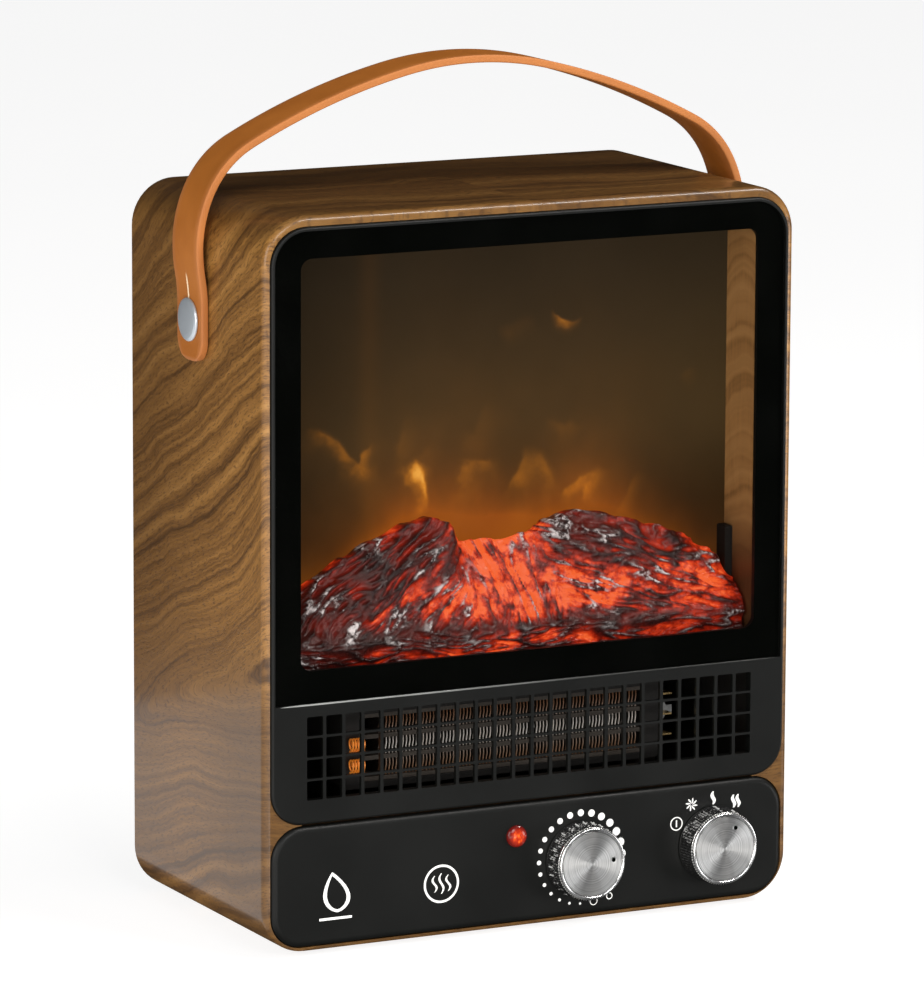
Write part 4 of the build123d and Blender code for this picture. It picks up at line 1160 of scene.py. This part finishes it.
def bark(along, across, seed):
    """Split bark from 0 in its cracks to 1 on its ridges, drawn out along the grain."""
    sway = noise.noise(Vector((along * 0.03, across * 0.06, seed))) * 5.0
    fold = noise.noise(Vector((along * 0.045, (across + sway) * 0.17, seed + 7.0)))
    split = noise.noise(Vector((along * 0.10, (across + sway) * 0.42, seed + 19.0)))
    crumb = noise.noise(Vector((along * 0.35, (across + sway) * 0.8, seed + 31.0)))
    broad = 1.0 - abs(fold) * 2.0
    thin = 1.0 - abs(split) * 2.0
    return 0.52 * broad + 0.33 * thin + 0.15 * (0.5 + 0.5 * crumb)


def ember_point(x, s):
    """Place, ridge, heat and ash of the bed's front at x, from its crest (s 0) to its foot (s 1)."""
    crest = crest_height(x)
    z = crest + (EMBER_FLOOR - crest) * s
    y = -43.0 - 14.5 * sin(pi / 2 * min(1.0, s * 1.08)) ** 0.85
    left = smoothstep(-22.0, -38.0, x + (z - 187) * 0.20)
    right = smoothstep(4.0, 20.0, x + (z - 187) * 0.45)
    middle = max(0.0, 1.0 - left - right)
    off_left = turned(x + 78, z - 166, 33)[1]
    off_right = turned(x - 66, z - 172, -17)[1]
    y -= 5.0 * left * bell(off_left, 4, 17) + 5.0 * right * bell(off_right, 2, 14)
    y += 3.5 * middle * bell(z, 176, 16)
    shelf = 146.0 + 4.0 * noise.noise(Vector((x * 0.03, 3.1, 0.0)))
    y -= 3.2 * bell(z, shelf, 5.5)
    ridge = 0.0
    for share, shifted_x, slant, seed in (
        (left, x, 36, 1.0),
        (right, x, -14, 40.0),
        (middle, x + (z - 160) ** 2 * 0.006, 96, 80.0),
    ):
        ridge += share * bark(*turned(shifted_x, z, slant), seed)
    low = smoothstep(152.0, 144.0, z)
    ridge = ridge * (1 - low) + low * bark(x, z, 120.0)
    pit = noise.noise(Vector((x * 0.5, z * 0.5, 9.0)))
    y -= (ridge - 0.45) * 4.6 + 0.5 * pit
    calm = smoothstep(0.0, 0.05, s)
    z += (ridge - 0.5) * 2.0 * (1 - calm) + 1.2 * (ridge - 0.5) * calm
    # hottest in the saddle and under the right log, dark at the logs' tips and along the shelf
    heat = 0.34 + 0.35 * bell(s, 0.0, 0.05)
    heat += 1.00 * bell(hypot(x + 8, (z - 170) * 0.85), 0, 28)
    heat += 0.95 * bell(hypot((x - 40) * 0.58, z - 161), 0, 14)
    heat += 0.75 * bell(hypot((x - 92) * 0.55, z - 160), 0, 13)
    heat += 0.45 * bell(hypot((x + 58) * 0.55, z - 158), 0, 15)
    heat += 0.16 * bell(z, 137, 5) * smoothstep(130, 50, abs(x - 20))
    heat -= 0.62 * bell(z, shelf + 1.0, 3.6) * smoothstep(100, 50, abs(x + 20))
    heat -= 0.26 * smoothstep(-70, -112, x)
    heat -= 0.50 * bell(hypot((x - 34) * 0.75, z - 192), 0, 13)
    heat -= 0.34 * bell(hypot(x + 46, z - 194), 0, 14)
    heat = max(0.0, heat) * (0.55 + 0.85 * (1 - min(1.0, max(0.0, ridge))))
    patch = 0.5 + 0.5 * noise.noise(Vector((x * 0.055, z * 0.075, 55.0)))
    ash = smoothstep(0.66, 0.86, ridge) * smoothstep(0.42, 0.62, patch)
    ash = max(ash, bell(x, 26, 9) * bell(z, 193, 7) * smoothstep(0.55, 0.75, ridge) * 1.4)
    ash *= 1.0 - 0.55 * middle * bell(z, 172, 18)
    ash *= 1.0 - 0.6 * smoothstep(152, 144, z) * smoothstep(-75, -45, x)
    return (x, max(y, -65.4), z), ridge, min(heat, 1.35), min(ash, 1.0)


def make_embers():
    """The ember bed: two charred logs that slope up to the back and a glowing saddle between them."""
    columns, rows = 380, 118
    points, ridges, heats, ashes = [], [], [], []
    for r in range(rows):
        s = (r / (rows - 1)) ** 0.92
        for c in range(columns):
            x = -119.4 + 238.8 * c / (columns - 1)
            place, ridge, heat, ash = ember_point(x, s)
            points.append(place)
            ridges.append(ridge)
            heats.append(heat)
            ashes.append(ash)
    faces = grid_faces(rows, columns)
    # rounded crest, back, and closed ends
    extra = []
    for r, (y, drop) in enumerate(((-40.5, 0.6), (-38.4, 2.6), (-37.6, 9.0), (-37.6, None))):
        row = []
        for c in range(columns):
            x, _, z = points[c]
            row.append(len(points))
            points.append((x, y, EMBER_FLOOR if drop is None else z - drop))
            ridges.append(ridges[c])
            heats.append(heats[c] * (1.0 if r < 2 else 0.3))
            ashes.append(ashes[c])
        extra.append(row)
    before = list(range(columns))
    for row in extra:
        for c in range(columns - 1):
            faces.append((before[c + 1], before[c], row[c], row[c + 1]))
        before = row
    foot = [(rows - 1) * columns + c for c in range(columns)]
    for c in range(columns - 1):
        faces.append((foot[c], foot[c + 1], before[c + 1], before[c]))
    for c in (0, columns - 1):
        rim = [r * columns + c for r in range(rows)] + [row[c] for row in extra[::-1]]
        faces.append(tuple(rim))
    bed = piece("ember_logs", points, faces, FINISHES["ember_resin"])
    mark(bed, "bed_ridge", ridges)
    mark(bed, "bed_heat", heats)
    mark(bed, "bed_ash", ashes)
    face_out(bed, crisp=180)
    return settle(bed, "heater", "ember_resin", "ember_bed")


# ------------------------------------------------------------------ heating element fins


def make_fins():
    """Three rows of folded foil leaves between the ceramic heater's bars."""
    low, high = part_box("heater_fins")
    r = Recipe(
        "heater_fin_rows",
        leaf_pitch=0.00178,
        leaf_count=78,
        leaf_thickness=0.00030,
        leaf_height=0.0079,
        leaf_depth=high[1] - low[1],
        row_pitch=0.0102,
        row_count=3,
    )
    g = r.given
    size = r.vector(g["leaf_thickness"], g["leaf_depth"], g["leaf_height"])
    leaf = r.add("GeometryNodeMeshCube", {"Size": size, "Vertices X": 2, "Vertices Y": 2, "Vertices Z": 4})
    # each leaf is pressed into a shallow S so that it catches the light unevenly
    up_leaf = r.add("ShaderNodeSeparateXYZ", {0: r.add("GeometryNodeInputPosition")}, out=2)
    sway = sum_of("SINE", up_leaf * 720.0) * 0.00028
    bent = r.add("GeometryNodeSetPosition", {"Geometry": leaf, "Offset": r.vector(sway)})
    start = (high[0] - 0.1385, (low[1] + high[1]) / 2, low[2] + 0.0041)
    step = r.vector(g["leaf_pitch"])
    row = r.add("GeometryNodeMeshLine", {"Count": g["leaf_count"], "Start Location": start, "Offset": step})
    rows = r.add("GeometryNodeMeshLine", {"Count": g["row_count"], "Offset": r.vector(z=g["row_pitch"])})
    made = r.make("heater_foil_leaves", r.copies(rows, r.copies(row, bent)), FINISHES["fin_foil"])
    settle(made, "heater", "fin_foil", "heater_fins")


def copper_wire_glow_finish():
    """Coil wire, dulled in patches, with a painted glow: a little orange emission stands in for ember light
    caught on it.
    """
    f = Finish("copper_wire_painted_glow")
    dust = f.noise(300.0, detail=3.0)
    share = f.fit(dust, 0.3, 0.7)
    tint = f.mix(share, (0.80, 0.30, 0.08), (0.55, 0.16, 0.03))
    glow = f.mix(share, (0.50, 0.12, 0.006), (0.95, 0.30, 0.02))
    f.set(Base_Color=tint, Metallic=0.7, Roughness=f.fit(dust, 0.3, 0.7, 0.28, 0.4))
    # painted glow: the wire is no lamp; its emission stands in for ember light
    return f.set(Emission_Color=glow, Emission_Strength=0.30)


def make_coils():
    """Two short wire coils that join the element's left end to its leads."""
    r = Recipe(
        "element_coils",
        coil_radius=0.0029,
        wire_radius=0.00042,
        coil_turns=5.0,
        coil_length=0.0074,
        coil_gap=0.0102,
    )
    radius, thin, turns, length, gap = r.given.values()
    sizes = {"Rotations": turns, "Start Radius": radius, "End Radius": radius, "Height": length}
    spiral = r.add("GeometryNodeCurveSpiral", {"Resolution": 18, **sizes})
    ring = r.add("GeometryNodeCurvePrimitiveCircle", {"Resolution": 8, "Radius": thin})
    coil = r.add("GeometryNodeCurveToMesh", {"Curve": spiral, "Profile Curve": ring, "Fill Caps": True})
    smooth = r.add("GeometryNodeSetShadeSmooth", {"Geometry": coil})
    lying = r.add("GeometryNodeTransform", {"Geometry": smooth, "Rotation": (0, pi / 2, 0)})
    first = (-0.0908, -0.0590, 0.0872)
    places = r.add("GeometryNodeMeshLine", {"Count": 2, "Start Location": first, "Offset": r.vector(z=gap)})
    settle(r.make("element_end_coils", r.copies(places, lying), copper_wire_glow_finish()), "heater", "brass_tab")


def make_screen_lip():
    """Folded lower edge of the screen's frame, which steps in over the right wall's foot."""
    left, right, front, back = 117.4, 121.4, -44.5, -36.3
    top, low = 183.0, 132.3
    rings = []
    for z, inset in ((low, 0.0), (top - 0.6, 0.0), (top, 0.6)):
        x0, x1, y0, y1 = left + inset, right - inset, front + inset, back - inset
        rings.append([(x0, y0, z), (x1, y0, z), (x1, y1, z), (x0, y1, z)])
    resin = FINISHES["heater_resin"]
    lip = loops_between("screen_frame_lip", rings, resin, closed_front=True, closed_back=True)
    settle(face_out(lip), "heater", "heater_resin")


# ------------------------------------------------------------------ assembly

make_pane()
trim = bead("pane_lower_bead", -134.8, 134.8, -69.85, 121.45, 0.42, pane_edge_highlight_finish())
settle(trim, "heater", "black_moulding")
make_strap()
for x, knob, body, clock in (
    (THERMOSTAT_X, "thermostat", "thermostat_dial", 85),
    (SELECTOR_X, "selector", "selector_dial", 30),
):
    dial_skirt(knob + "_skirt", x, body, knob + "_knob")
    dial_face(knob + "_face", x, body, knob + "_knob_disc", clock)
    pointer_inlay(knob + "_pointer", x, body, clock)
    rim_beads(knob + "_rim_beads", x, body)
make_marks()
make_embers()
make_fins()
make_coils()
make_screen_lip()

# ------------------------------------------------------------------ studio


def make_floor():
    """A plain pale floor that lights softly from below, as a white sweep does."""
    f = Finish("studio_floor")
    cloud = f.noise(2.0, detail=1.0)
    f.set(Base_Color=f.mix(f.fit(cloud, 0.3, 0.7), (0.34, 0.34, 0.34), (0.36, 0.36, 0.36)), Roughness=0.9)
    f.set(Emission_Color=(1.0, 1.0, 1.0), Emission_Strength=0.86, Specular_IOR_Level=0.0)
    # the card is the part of the floor that polished pieces mirror, at the left and in front
    made = []
    for name, size, height in (
        ("studio_floor", (-14000, -14000, 14000, 14000), -0.02),
        ("studio_floor_left", (-3000, -3000, -150, 480), -0.01),
    ):
        corners = [(x, y, height) for x, y in strip(*size)]
        made.append(piece(name, corners, [(0, 1, 2, 3)], f.material, smooth=False))
        made[-1].visible_shadow = False
    floor, card = made
    floor.visible_glossy = False


def softbox(name, place, aim, size, power, colour=(1.0, 1.0, 1.0)):
    light = bpy.data.lights.new(name, "AREA")
    light.shape = "RECTANGLE"
    light.size, light.size_y = size
    light.energy = power
    light.color = colour
    lamp = bpy.data.objects.new(name, light)
    lamp.location = place
    lamp.rotation_euler = (Vector(aim) - Vector(place)).to_track_quat("-Z", "Y").to_euler()
    bpy.context.scene.collection.objects.link(lamp)


def make_studio():
    softbox("key_softbox", (-2.2, -1.5, 0.75), (0, 0, 0.2), (1.4, 1.6), 33, (1.0, 0.97, 0.93))
    softbox("overhead_strip", (0.90, -0.80, 1.65), (0, -0.05, 0.3), (1.6, 0.16), 28, (1.0, 0.97, 0.94))
    softbox("front_fill", (-0.3, -3.0, 1.6), (0, 0, 0.2), (1.4, 0.8), 30)
    softbox("right_softbox", (1.9, -1.25, 0.0), (0, -0.05, 0.03), (0.8, 0.6), 10.5)
    softbox("low_front_softbox", (0.1, -2.6, -0.35), (0.06, -0.07, 0.03), (0.7, 0.6), 5)
    warm = (1.0, 0.95, 0.88)
    softbox("low_left_softbox", (-0.85, -2.05, -0.28), (-0.13, -0.07, 0.18), (0.8, 0.5), 9.5, warm)
    world = bpy.data.worlds.new("studio_air")
    world.use_nodes = True
    nodes = world.node_tree.nodes
    ground = nodes["Background"]
    cut = nodes.new("ShaderNodeSeparateXYZ")
    wire(nodes.new("ShaderNodeTexCoord").outputs["Generated"], cut.inputs[0])
    x, y = Value(cut.outputs["X"]), Value(cut.outputs["Y"])
    # even white to the eye; a dim room that brightens towards the front for everything else
    room = y.fit(0.35, -0.75, 0.03, 0.36)
    # a dark flat stands to the right of the front, where the pane and the panels look
    aside = sum_of("ABSOLUTE", x - 0.45).fit(0.0, 0.30, 0.22, 1.0, kind="SMOOTHSTEP")
    seen = Value(nodes.new("ShaderNodeLightPath").outputs["Is Camera Ray"])
    wire(seen.fit(0.0, 1.0, room * aside, 1.0), ground.inputs["Strength"])
    ground.inputs["Color"].default_value = (1.0, 1.0, 1.0, 1.0)
    bpy.context.scene.world = world
    bpy.context.scene.view_settings.view_transform = "Standard"


def make_camera():
    camera = bpy.data.cameras.new("camera")
    camera.lens = 236.2
    camera.sensor_width = 36.0
    camera.clip_end = 100.0
    eye = bpy.data.objects.new("camera", camera)
    place = Vector((-1.4007, -2.7688, 0.7754))
    aim = Vector((-0.0380, -0.0700, 0.2124))
    turn = (aim - place).to_track_quat("-Z", "Y").to_matrix().to_4x4()
    eye.matrix_world = Matrix.Translation(place) @ turn @ Matrix.Rotation(radians(0.26), 4, "Z")
    bpy.context.scene.collection.objects.link(eye)
    bpy.context.scene.camera = eye


make_floor()
make_studio()
make_camera()
